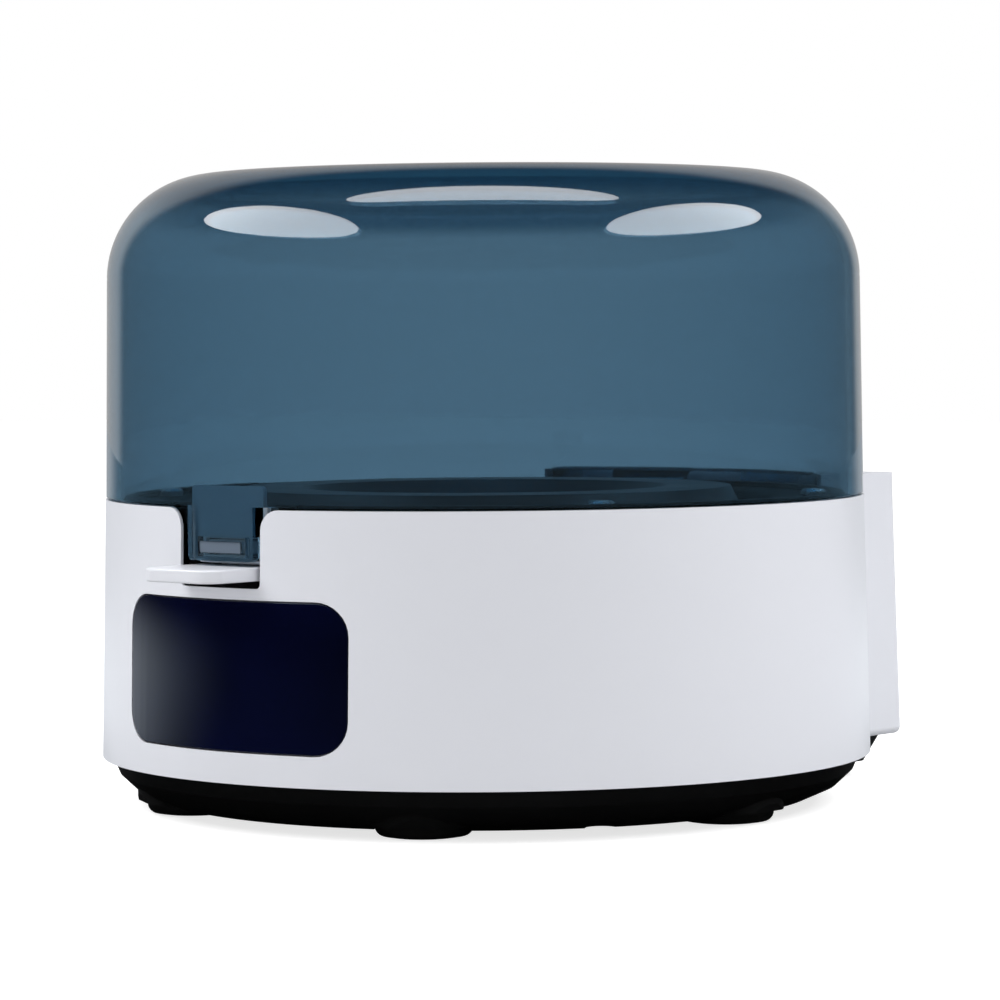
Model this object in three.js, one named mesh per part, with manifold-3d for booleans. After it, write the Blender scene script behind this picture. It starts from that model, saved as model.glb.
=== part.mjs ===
// Mini centrifuge with a hinged smoke lid, a digital display and an eight-place rotor.
// Millimetres, +Z up, front towards -Y. The origin is on the bench, under the rotor's axis.
import * as THREE from 'three';
import { mergeVertices } from 'three/addons/utils/BufferGeometryUtils.js';
import Module from 'manifold-3d';

const wasm = await Module();
wasm.setup();

// Overall
const partingHeight = 64.5; // bench to the joint between housing and lid
const housingTopRadius = 80;
const housingDraft = 1.2; // more at the foot than at the top
const housingFootRadius = housingTopRadius + housingDraft;
const housingFootHeight = 10.5;
const housingWall = 3;
const housingEdge = 0.8; // rounded foot edge
const clearance = 0.3; // gap between pieces that meet
const overrun = 1; // how far every cutter reaches past its work
const screwRadius = 1.2;
const screwHeadRadius = 2.7;
const screwHeadHeight = 1.6;
const pilotDepth = 9;

// Lid
const lidGap = 0.5; // dark line between lid and housing
const lidInset = 0.1; // inside the housing's top edge
const lidRimRadius = housingTopRadius - lidInset;
const lidDraft = 0.6;
const lidShoulderRadius = lidRimRadius - lidDraft;
const lidShoulderRise = 45.9; // above the parting height
const lidFilletRadius = 22;
const lidFilletStart = 15; // degrees, where the wall meets the fillet in a faint crease
const lidCrown = 0.5;
const lidWall = 3;
const lidRoof = 2.8;
const tongueWidth = 18;
const tongueDrop = 10.3; // below the parting height
const tongueCorner = 1.2;
const pocketWidth = 13;
const pocketHeight = 4;
const pocketDepth = 1.8;
const flangeThickness = 2.3;
const flangeLift = 0.6; // flange underside above the parting height
const flangeFillet = 2.5;

// Hinge
const blockHalfWidth = 42;
const blockProud = 10.4; // behind the housing's round wall
const blockRear = housingTopRadius + blockProud;
const blockTopRise = 2.9; // above the parting height
const blockCorner = 1.8;
const pinRadius = 1.5;
const pinLength = 76;
const pinInset = 3.8; // in from the block's rear
const pinBehindAxis = blockRear - pinInset;
const pinDrop = 0.6; // below the parting height
const knuckleRadius = 3.2;
const knuckleInner = 9;
const knuckleOuter = 30;
const ridgeRadius = 3.6;
const ridgeArcStart = 175; // degrees, at the front of the ridge
const ridgeArcEnd = 105;
const hingeFloor = 6; // solid plastic under the pin
const cheekWidth = 2; // the block's low walls past the ends of the lid's flange
const cheekGap = 0.8; // to the lid's rim

// Latch
const notchHalfWidth = 11;
const notchDrop = 15.5;
const notchTopCorner = 4;
const notchBottomCorner = 1;
const tabWidth = 20;
const tabThickness = 2.7;
const tabReach = 12.2; // beyond the housing's face
const tabCorner = 4;
const tabGapAbove = 1;
const noseWidth = 11.8;
const noseHeight = 2.7;
const noseTopDrop = 6.2;
const noseReach = 2;
const postThickness = 2.2;
const latchTravel = 3;
const springWire = 0.6;
const springRadius = 2;
const springTurns = 5;
const guideWall = 1.8;
const guideEar = 5.5;

// Display
const lensHalfWidth = 29.8; // straight across, 62 mm along the curve
const lensMarginBelow = 6.5; // above the housing's foot
const lensMarginAbove = 18; // below the parting height
const lensLowHeight = housingFootHeight + lensMarginBelow;
const lensTopHeight = partingHeight - lensMarginAbove;
const lensHeight = lensTopHeight - lensLowHeight;
const lensCorner = 6.5;
const lensThickness = 1.8;
const lensSeat = 5.5; // width of the ledge behind the lens
const moduleWidth = 48;
const moduleMargin = 7.5; // less than the lens
const moduleHeight = lensHeight - moduleMargin;
const moduleThickness = 3;
const boardThickness = 1.6;
const displayBoardWidth = 62;
const displayBoardMargin = 2.5; // less than the lens
const displayBoardHeight = lensHeight - displayBoardMargin;
const displayBossRadius = 2.6;
const displayBossSpread = 28;
const displayScrewReach = 2.6; // into its boss

// Bowl
const deckThickness = 3;
const deckDrop = 0.3; // deck top below the parting height
const ledgeWidth = 2.5;
const ledgeThickness = 2.2;
const deckWidth = 20; // from the housing's top edge to the bowl
const bowlTopRadius = housingTopRadius - deckWidth;
const bowlDraft = 2;
const bowlFloorRadius = bowlTopRadius - bowlDraft;
const bowlFloorLift = 8.5; // above the motor
const bowlWall = 2.4;
const bowlFillet = 6;
const bowlHoleRadius = 6;
const bowlCollarHeight = 2;
const gasketInset = 4;
const gasketRadius = housingTopRadius - gasketInset;
const gasketTopRise = 1.7; // above the parting height
const gasketSkin = 1.2;
const lipThickness = 1.4;
const rimBreakAngle = 9; // half of the break at the latch, degrees
const endBlockAngle = 3.5;

// Rotor
const rotorGap = 3; // to the bowl
const rotorRadius = bowlFloorRadius - rotorGap;
const rotorLift = 2.3; // above the bowl's floor
const rotorHeight = 29;
const rotorHubRise = 12.5;
const rotorHubRadius = 11;
const rotorRimShare = 0.7; // of the rotor's radius, where the cone meets the rim
const rotorRimInner = rotorRadius * rotorRimShare;
const rotorUnderShare = 0.62;
const rotorUnderRadius = rotorRadius * rotorUnderShare;
const rotorChamfer = 3;
const socketCount = 8;
const socketShare = 0.1018; // of the rotor's radius
const socketRadius = rotorRadius * socketShare;
const socketDepth = 18;
const socketTipDepth = 6;
const socketTipRadius = 2;
const socketCircleShare = 0.545; // of the rotor's radius, where a socket's axis meets the cone
const socketCircle = rotorRadius * socketCircleShare;
const knobRadius = 11;
const knobHeight = 10;
const knobFlutes = 12;
const knobFluteDepth = 0.8;
const knobEdge = 1.5;

// Drive
const shaftRadius = 2.2;
const shaftFlangeRadius = 7;
const shaftFlangeThickness = 1.6;
const shaftSeatRadius = 4;
const studRadius = 2.5;
const studRise = 8; // above the hub
const motorRadius = 20;
const motorLowHeight = 6.5;
const motorTopHeight = 26.7;
const bowlFloorHeight = motorTopHeight + bowlFloorLift;
const rotorLowHeight = bowlFloorHeight + rotorLift;
const rotorTopHeight = rotorLowHeight + rotorHeight;
const rotorHubTop = rotorLowHeight + rotorHubRise;
const studTop = rotorHubTop + studRise;
const motorSpigotRadius = 6;
const motorSpigotHeight = 2.6;
const motorBearingDepth = 17;
const plateThickness = 1.5;
const plateRadius = 34;
const damperCircle = 28.5;
const damperCount = 3;
const damperRadius = 5;
const damperNeck = 3.4;
const damperLip = 1.7;
const faceScrewSpread = 12;

// Bottom pan
const panHeight = 1.5; // underside above the bench
const panFlatInset = 12.3; // all pan insets are from the housing's foot
const panFlatRadius = housingFootRadius - panFlatInset;
const panBendInset = 6.9;
const panBendRadius = housingFootRadius - panBendInset;
const panBendHeight = 3.9;
const panSideInset = 3.6;
const panSideRadius = housingFootRadius - panSideInset;
const panSideHeight = 7;
const panRimInset = 2.2;
const panRimRadius = housingFootRadius - panRimInset;
const panWall = 2.6;
const panLipHeight = 5.5;
const panLipThickness = 2;
const panTailInset = 1.8;
const panTailTaper = 3;
const panTailLowHeight = 3.2;
const footInset = 17.2;
const footCircle = housingFootRadius - footInset;
const footCount = 6;
const footRadius = 9.8;
const footFlatRadius = 7.4;
const footRound = 2;
const footArcStart = -60; // degrees
const footHeight = 6;
const footBossWall = 1.7;
const ventCount = 4;
const ventWidth = 2.4;
const ventPitch = 5;
const ventMargin = 3; // clear of the motor
const ventFootMargin = 19; // clear of the feet

// Posts that join housing, bowl and pan
const postInset = 10.4;
const postCircle = housingTopRadius - postInset;
const postRadius = 4.4;
const postAngles = [60, 120, 240, 300];
const postRib = 3;
const wellRadius = 3.3;
const wellDepth = 5;

// Rear fittings
const fittingHeight = (housingFootHeight + partingHeight) / 2;
const recessDepth = 2;
const recessHalfWidth = 34;
const recessHalfHeight = 13;
const recessCorner = 2.5;
const switchOffset = 17;
const switchHalfWidth = 10.5;
const switchHalfHeight = 7.5;
const switchFlange = 1.2;
const switchDepth = 13;
const rockerHalfWidth = 8.2;
const rockerHalfHeight = 5.4;
const rockerDepth = 4.5;
const rockerTilt = 10; // degrees each way from level
const inletHalfWidth = 7;
const inletHalfHeight = 5.5;
const inletDepth = 12;
const inletBoreRadius = 3.2;
const inletBoreDepth = 9;
const inletPinRadius = 1;

// Main board
const mainBoardHalfWidth = 27;
const mainBoardFront = 27;
const mainBoardInset = 13;
const mainBoardRear = housingTopRadius - mainBoardInset;
const mainBoardHeight = 9;
const mainBoardPostRadius = 3;
const mainBoardPostSpread = 21;
const mainBoardPostInset = 4;
const capacitorRadius = 5;
const capacitorHeight = 12;
const chipSize = 9;
const chipHeight = 1.6;
const plugWidth = 12;
const plugDepth = 5;
const plugHeight = 6;
const sensorWidth = 7;
const sensorDepth = 4;
const sensorHeight = 5;
const leadRadius = 1.1;
const ribbonWidth = 7;
const ribbonOffset = 9.2;
const ribbonThickness = 0.8;

// Facets round a full turn
const bigFacets = 40;
const midFacets = 20;
const smallFacets = 8;
const leadSides = 6;
const leadSteps = 14;
const footFacets = 12;
const socketFacets = 12;
const springSides = 5;
const springSteps = 6; // along each turn

const degree = Math.PI / 180;
const housingSlope = (housingFootRadius - housingTopRadius) / (partingHeight - housingFootHeight);

function housingRadiusAt(z) {
  return housingTopRadius + (partingHeight - z) * housingSlope;
}

// Geometry helpers

function signedVolume(geometry) {
  const p = geometry.attributes.position;
  const index = geometry.index.array;
  const a = new THREE.Vector3();
  const b = new THREE.Vector3();
  const c = new THREE.Vector3();
  let sum = 0;
  for (let i = 0; i < index.length; i += 3) {
    a.fromBufferAttribute(p, index[i]);
    b.fromBufferAttribute(p, index[i + 1]);
    c.fromBufferAttribute(p, index[i + 2]);
    sum += a.dot(b.cross(c));
  }
  return sum;
}

function toSolid(source) {
  const bare = source.clone();
  bare.deleteAttribute('normal');
  bare.deleteAttribute('uv');
  const merged = mergeVertices(bare);
  const triVerts = Uint32Array.from(merged.index.array);
  if (signedVolume(merged) < 0) {
    for (let i = 0; i < triVerts.length; i += 3) {
      const first = triVerts[i];
      triVerts[i] = triVerts[i + 1];
      triVerts[i + 1] = first;
    }
  }
  const vertProperties = Float32Array.from(merged.attributes.position.array);
  const mesh = new wasm.Mesh({ numProp: 3, vertProperties, triVerts });
  mesh.merge();
  return new wasm.Manifold(mesh);
}

function toGeometry(solid) {
  const mesh = solid.getMesh();
  const geometry = new THREE.BufferGeometry();
  geometry.setAttribute('position', new THREE.BufferAttribute(Float32Array.from(mesh.vertProperties), 3));
  geometry.setIndex(new THREE.BufferAttribute(Uint32Array.from(mesh.triVerts), 1));
  geometry.computeVertexNormals();
  return geometry;
}

function join(first, ...others) {
  return others.reduce((whole, piece) => whole.add(piece), first);
}

function cut(first, ...others) {
  return others.reduce((whole, piece) => whole.subtract(piece), first);
}

// A turned solid about Z from [radius, height] points; the outline is closed here.
function turned(points, facets = bigFacets) {
  const outline = points.map(([r, z]) => new THREE.Vector2(r, z));
  outline.push(outline[0].clone());
  const geometry = new THREE.LatheGeometry(outline, facets);
  geometry.rotateX(Math.PI / 2);
  return toSolid(geometry);
}

// Arc points from one angle to another, both in degrees.
function arc(centreX, centreY, radius, from, to, steps) {
  const points = [];
  for (let i = 0; i <= steps; i += 1) {
    const angle = (from + (to - from) * i / steps) * degree;
    points.push([centreX + radius * Math.cos(angle), centreY + radius * Math.sin(angle)]);
  }
  return points;
}

function box([x0, x1], [y0, y1], [z0, z1]) {
  const geometry = new THREE.BoxGeometry(x1 - x0, y1 - y0, z1 - z0);
  geometry.translate((x0 + x1) / 2, (y0 + y1) / 2, (z0 + z1) / 2);
  return toSolid(geometry);
}

function extruded(points, depth) {
  const shape = new THREE.Shape(points.map(([x, y]) => new THREE.Vector2(x, y)));
  return new THREE.ExtrudeGeometry(shape, { depth, bevelEnabled: false });
}

// An outline in X and Y carried up from one height to another.
function upright(points, [z0, z1]) {
  const geometry = extruded(points, z1 - z0);
  geometry.translate(0, 0, z0);
  return toSolid(geometry);
}

// An outline in X and Z carried along Y.
function through(points, [y0, y1]) {
  const geometry = extruded(points, y1 - y0);
  geometry.rotateX(Math.PI / 2);
  geometry.translate(0, y1, 0);
  return toSolid(geometry);
}

// An outline in Y and Z carried along X.
function across(points, [x0, x1]) {
  const geometry = extruded(points, x1 - x0);
  geometry.rotateX(Math.PI / 2);
  geometry.rotateZ(Math.PI / 2);
  geometry.translate(x0, 0, 0);
  return toSolid(geometry);
}

function roundedOutline(x0, x1, y0, y1, radius, steps = 4) {
  return [
    ...arc(x1 - radius, y0 + radius, radius, -90, 0, steps),
    ...arc(x1 - radius, y1 - radius, radius, 0, 90, steps),
    ...arc(x0 + radius, y1 - radius, radius, 90, 180, steps),
    ...arc(x0 + radius, y0 + radius, radius, 180, 270, steps),
  ];
}

function cylinderZ(x, y, radius, [z0, z1], facets = smallFacets) {
  const geometry = new THREE.CylinderGeometry(radius, radius, z1 - z0, facets);
  geometry.rotateX(Math.PI / 2);
  geometry.translate(x, y, (z0 + z1) / 2);
  return toSolid(geometry);
}

function cylinderX(y, z, radius, [x0, x1], facets = smallFacets) {
  const geometry = new THREE.CylinderGeometry(radius, radius, x1 - x0, facets);
  geometry.rotateZ(Math.PI / 2);
  geometry.translate((x0 + x1) / 2, y, z);
  return toSolid(geometry);
}

function cylinderY(x, z, radius, [y0, y1], facets = smallFacets) {
  const geometry = new THREE.CylinderGeometry(radius, radius, y1 - y0, facets);
  geometry.translate(x, (y0 + y1) / 2, z);
  return toSolid(geometry);
}

// A wedge of the deck between two azimuths, measured from the front.
function wedge(fromAngle, toAngle, radius, [z0, z1]) {
  const steps = 4;
  const rim = arc(0, 0, radius, fromAngle - 90, toAngle - 90, steps);
  return upright([[0, 0], ...rim], [z0, z1]);
}

function onCircle(radius, angleFromFront) {
  const angle = angleFromFront * degree;
  return [radius * Math.sin(angle), -radius * Math.cos(angle)];
}

function moved(solid, x, y, z) {
  return solid.translate([x, y, z]);
}

const group = new THREE.Group();

function piece(name, solid, color, roughness, metalness = 0, extra = {}) {
  const material = new THREE.MeshStandardMaterial({ color, roughness, metalness, ...extra });
  const mesh = new THREE.Mesh(toGeometry(solid), material);
  mesh.name = name;
  group.add(mesh);
  return mesh;
}

const white = 0xdcdfe4;
const black = 0x111214;
const smoke = 0x35505f;
const steel = 0xb4b7ba;
const boardGreen = 0x1f5a3a;
const rotorGrey = 0x24272c;

// Levels and places that several pieces share

const deckTop = partingHeight - deckDrop;
const deckBottom = deckTop - deckThickness;
const ledgeTop = deckBottom - clearance;
const deckRadius = housingTopRadius - housingWall - clearance;
const pinHeight = partingHeight - pinDrop;
const panRimHeight = housingFootHeight - clearance;
const tabTop = partingHeight - tongueDrop - tabGapAbove;
const tabBottom = tabTop - tabThickness;
const tongueFace = lidRimRadius - lidWall;
const noseFront = tongueFace - clearance - 2 * clearance;
const postFront = noseFront - noseReach;
const postRear = postFront - postThickness;
const guideRear = postRear - latchTravel - springRadius * 2;
const postPlaces = postAngles.map((angle) => onCircle(postCircle, angle));
const postBottom = panRimHeight + wellDepth / 2;
const plateHeight = motorTopHeight + clearance;
const damperTop = plateHeight + plateThickness + damperLip;
const moduleFront = Math.sqrt((housingTopRadius - housingWall) ** 2 - (moduleWidth / 2) ** 2) - clearance;
const displayBoardFront = moduleFront - moduleThickness - clearance;
const displayMiddle = (lensLowHeight + lensTopHeight) / 2;

// A pan-head screw standing on its point, head up, from its head's underside.
function screwSolid(length) {
  const edge = screwHeadHeight / 3;
  return turned([
    [0, -length],
    [screwRadius, -length + screwRadius],
    [screwRadius, 0],
    [screwHeadRadius, 0],
    [screwHeadRadius, screwHeadHeight - edge],
    [screwHeadRadius - edge, screwHeadHeight],
    [0, screwHeadHeight],
  ], smallFacets);
}

function screwUp(name, x, y, seat, length) {
  piece(name, moved(screwSolid(length), x, y, seat), steel, 0.35, 1);
}

function screwDown(name, x, y, seat, length) {
  piece(name, moved(screwSolid(length).rotate([180, 0, 0]), x, y, seat), steel, 0.35, 1);
}

// Housing

function blockOutline(halfWidth, front, rear, corner) {
  return [
    [-halfWidth, front],
    [halfWidth, front],
    ...arc(halfWidth - corner, rear - corner, corner, 0, 90, 4),
    ...arc(-halfWidth + corner, rear - corner, corner, 90, 180, 4),
  ];
}

// The hinge block grows towards its foot by the housing's own draft.
function draftedBlock(halfWidth, front, rear, corner, [z0, z1]) {
  const geometry = extruded(blockOutline(halfWidth, front, rear, corner), z1 - z0);
  geometry.translate(0, 0, z0);
  const p = geometry.attributes.position;
  for (let i = 0; i < p.count; i += 1) {
    const growth = (z1 - p.getZ(i)) * housingSlope;
    p.setX(i, p.getX(i) * (1 + growth / halfWidth));
    p.setY(i, p.getY(i) > front ? p.getY(i) + growth : p.getY(i));
  }
  return toSolid(geometry);
}

function housingShell() {
  const blockFront = postCircle;
  const outer = turned([
    [0, housingFootHeight],
    [housingFootRadius - housingEdge, housingFootHeight],
    [housingFootRadius, housingFootHeight + housingEdge],
    [housingTopRadius, partingHeight - clearance],
    [housingTopRadius - clearance, partingHeight],
    [0, partingHeight],
  ]);
  const inner = turned([
    [0, housingFootHeight - overrun],
    [housingRadiusAt(housingFootHeight - overrun) - housingWall, housingFootHeight - overrun],
    [housingRadiusAt(partingHeight + overrun) - housingWall, partingHeight + overrun],
    [0, partingHeight + overrun],
  ]);
  const block = draftedBlock(blockHalfWidth, blockFront, blockRear, blockCorner, [
    housingFootHeight,
    partingHeight,
  ]);
  const ridgeFront = pinBehindAxis - ridgeRadius;
  const ridgeTop = partingHeight + blockTopRise;
  const ridgeOutline = [
    [ridgeFront, pinHeight],
    ...arc(pinBehindAxis, pinHeight, ridgeRadius, ridgeArcStart, ridgeArcEnd, 4),
    [pinBehindAxis, ridgeTop],
    [blockRear - blockCorner / 2, ridgeTop],
    [blockRear, ridgeTop - blockCorner / 2],
    [blockRear, pinHeight - pinDrop],
    [ridgeFront, pinHeight - pinDrop],
  ];
  const plan = blockOutline(blockHalfWidth, blockFront, blockRear, blockCorner);
  const ridge = across(ridgeOutline, [-blockHalfWidth, blockHalfWidth])
    .intersect(upright(plan, [0, ridgeTop + overrun]));
  const lidRoom = cylinderZ(0, 0, housingTopRadius + cheekGap, [0, 2 * partingHeight], bigFacets);
  const flangeRoom = box(
    [cheekWidth - blockHalfWidth, blockHalfWidth - cheekWidth],
    [0, blockRear],
    [0, 2 * partingHeight],
  );
  const cheeks = box(
    [-blockHalfWidth, blockHalfWidth],
    [blockFront, pinBehindAxis],
    [partingHeight - clearance, ridgeTop],
  ).subtract(lidRoom).subtract(flangeRoom);
  const blockHollow = box(
    [-blockHalfWidth + housingWall, blockHalfWidth - housingWall],
    [blockFront - overrun, blockRear - housingWall],
    [housingFootHeight - overrun, pinHeight - hingeFloor],
  );
  const ledge = turned([
    [deckRadius - ledgeWidth, ledgeTop - ledgeThickness],
    [housingRadiusAt(ledgeTop) - housingWall / 2, ledgeTop - ledgeThickness - ledgeWidth],
    [housingRadiusAt(ledgeTop) - housingWall / 2, ledgeTop],
    [deckRadius - ledgeWidth, ledgeTop],
  ]);
  const ledgeGap = guideHalfWidth() + 2 * clearance;
  const brokenLedge = ledge.subtract(box(
    [-ledgeGap, ledgeGap],
    [-housingFootRadius, 0],
    [deckBottom - 2 * ledgeWidth - ledgeThickness, deckBottom + overrun],
  ));
  let shell = join(cut(join(outer, block), inner, blockHollow), ridge, cheeks, brokenLedge);
  for (const [x, y] of postPlaces) {
    const outward = Math.hypot(x, y);
    const reach = housingRadiusAt(partingHeight) - housingWall / 2 - outward;
    const rib = box([0, reach], [-postRib / 2, postRib / 2], [postBottom, ledgeTop]);
    const turn = Math.atan2(y, x) / degree;
    shell = shell.add(cylinderZ(x, y, postRadius, [postBottom, ledgeTop]));
    shell = shell.add(moved(rib.rotate([0, 0, turn]), x, y, 0));
  }
  const insideWall = cylinderZ(0, 0, housingRadiusAt(displayMiddle) - housingWall + clearance, [
    housingFootHeight,
    partingHeight,
  ], bigFacets);
  for (const side of [-1, 1]) {
    const boss = cylinderY(side * displayBossSpread, displayMiddle, displayBossRadius, [
      -housingRadiusAt(displayMiddle),
      -displayBoardFront - clearance,
    ]);
    shell = shell.add(boss.intersect(insideWall));
  }
  return shell;
}

function notchOutline() {
  const low = partingHeight - notchDrop;
  const top = partingHeight + blockTopRise;
  const wide = notchHalfWidth + notchTopCorner;
  const centre = partingHeight - notchTopCorner;
  return [
    [-wide, top],
    ...arc(-wide, centre, notchTopCorner, 90, 0, 4),
    ...arc(-notchHalfWidth + notchBottomCorner, low + notchBottomCorner, notchBottomCorner, 180, 270, 2),
    ...arc(notchHalfWidth - notchBottomCorner, low + notchBottomCorner, notchBottomCorner, 270, 360, 2),
    ...arc(wide, centre, notchTopCorner, 180, 90, 4),
    [wide, top],
  ];
}

function lensOutline(offset) {
  return roundedOutline(
    -lensHalfWidth - offset,
    lensHalfWidth + offset,
    lensLowHeight - offset,
    lensTopHeight + offset,
    lensCorner + offset,
  );
}

// A skin of the housing's outer face, used for the lens and for its recess.
function outerSkin(depth, rise) {
  return turned([
    [housingRadiusAt(housingFootHeight) - depth, housingFootHeight],
    [housingRadiusAt(housingFootHeight) + rise, housingFootHeight],
    [housingRadiusAt(partingHeight) + rise, partingHeight],
    [housingRadiusAt(partingHeight) - depth, partingHeight],
  ]);
}

function buildHousing() {
  const frontCut = [-housingFootRadius - overrun, -moduleFront + overrun];
  const notch = through(notchOutline(), [-housingFootRadius - overrun, -postCircle]);
  const lensRecess = through(lensOutline(clearance), frontCut)
    .intersect(outerSkin(lensThickness + clearance, overrun));
  const lensHole = through(lensOutline(-lensSeat), frontCut);
  let housing = cut(housingShell(), notch, lensRecess, lensHole);

  const slotLow = pinHeight - knuckleRadius - clearance;
  const slotTop = partingHeight + blockTopRise + overrun;
  const slotFront = pinBehindAxis - knuckleRadius - clearance;
  for (const side of [-1, 1]) {
    const ends = [side * (knuckleInner - clearance), side * (knuckleOuter + clearance)];
    const slot = box(
      [Math.min(...ends), Math.max(...ends)],
      [slotFront, blockRear + overrun],
      [slotLow, slotTop],
    );
    housing = housing.subtract(slot);
  }
  const pinHole = cylinderX(pinBehindAxis, pinHeight, pinRadius + clearance, [
    -blockHalfWidth - overrun,
    pinLength / 2 + clearance,
  ]);
  housing = housing.subtract(pinHole);

  for (const [x, y] of postPlaces) {
    const hole = screwRadius + clearance;
    housing = housing.subtract(cylinderZ(x, y, hole, [postBottom - overrun, postBottom + pilotDepth]));
    housing = housing.subtract(cylinderZ(x, y, hole, [ledgeTop - pilotDepth, ledgeTop + overrun]));
  }
  for (const side of [-1, 1]) {
    housing = housing.subtract(cylinderY(side * displayBossSpread, displayMiddle, screwRadius + clearance, [
      -displayBoardFront - displayScrewReach,
      -displayBoardFront + overrun,
    ]));
  }
  return cutRearFittings(housing);
}

// A hole for a rear fitting, with its clearance.
function window(x, halfWidth, halfHeight, depth) {
  const room = halfWidth + clearance;
  const rise = halfHeight + clearance;
  return box([x - room, x + room], depth, [fittingHeight - rise, fittingHeight + rise]);
}

function cutRearFittings(housing) {
  const rear = housingRearAt(fittingHeight);
  const recess = through(roundedOutline(
    -recessHalfWidth,
    recessHalfWidth,
    fittingHeight - recessHalfHeight,
    fittingHeight + recessHalfHeight,
    recessCorner,
  ), [recessFace(), rear + 2 * overrun]);
  const backing = box(
    [-recessHalfWidth - housingWall, recessHalfWidth + housingWall],
    [recessFace() - housingWall, blockRear - housingWall / 2],
    [fittingHeight - recessHalfHeight - housingWall, fittingHeight + recessHalfHeight + housingWall],
  );
  const depth = [recessFace() - housingWall - overrun, rear];
  const switchHole = window(switchOffset, switchBodyHalfWidth(), switchBodyHalfHeight(), depth);
  const inletHole = window(-switchOffset, inletHalfWidth, inletHalfHeight, depth);
  return cut(housing.add(backing), recess, switchHole, inletHole);
}

function housingRearAt(z) {
  return blockRear + (partingHeight - z) * housingSlope;
}

function recessFace() {
  return blockRear - recessDepth;
}

function switchBodyHalfWidth() {
  return switchHalfWidth - switchFlange;
}

function switchBodyHalfHeight() {
  return switchHalfHeight - switchFlange;
}

// Bottom pan and feet

function footPlaces() {
  const places = [];
  for (let i = 0; i < footCount; i += 1) {
    places.push(onCircle(footCircle, (i + 0.5) * 360 / footCount));
  }
  return places;
}

function damperPlaces() {
  const places = [];
  for (let i = 0; i < damperCount; i += 1) {
    places.push(onCircle(damperCircle, i * 360 / damperCount));
  }
  return places;
}

function boardPostPlaces() {
  const front = mainBoardFront + mainBoardPostInset;
  const rear = mainBoardRear - mainBoardPostInset;
  return [
    [-mainBoardPostSpread, front],
    [mainBoardPostSpread, front],
    [-mainBoardPostSpread, rear],
    [mainBoardPostSpread, rear],
  ];
}

function panTail(inset, [z0, z1]) {
  const halfWidth = blockHalfWidth - panTailInset - inset;
  const rear = blockRear - panTailInset + overrun - inset;
  const geometry = extruded(blockOutline(halfWidth, footCircle, rear, panTailTaper), z1 - z0);
  geometry.translate(0, 0, z0);
  const p = geometry.attributes.position;
  for (let i = 0; i < p.count; i += 1) {
    const shrink = p.getZ(i) < (z0 + z1) / 2 ? panTailTaper : 0;
    p.setX(i, p.getX(i) * (1 - shrink / halfWidth));
    p.setY(i, p.getY(i) > footCircle ? p.getY(i) - shrink : p.getY(i));
  }
  return toSolid(geometry);
}

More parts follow.
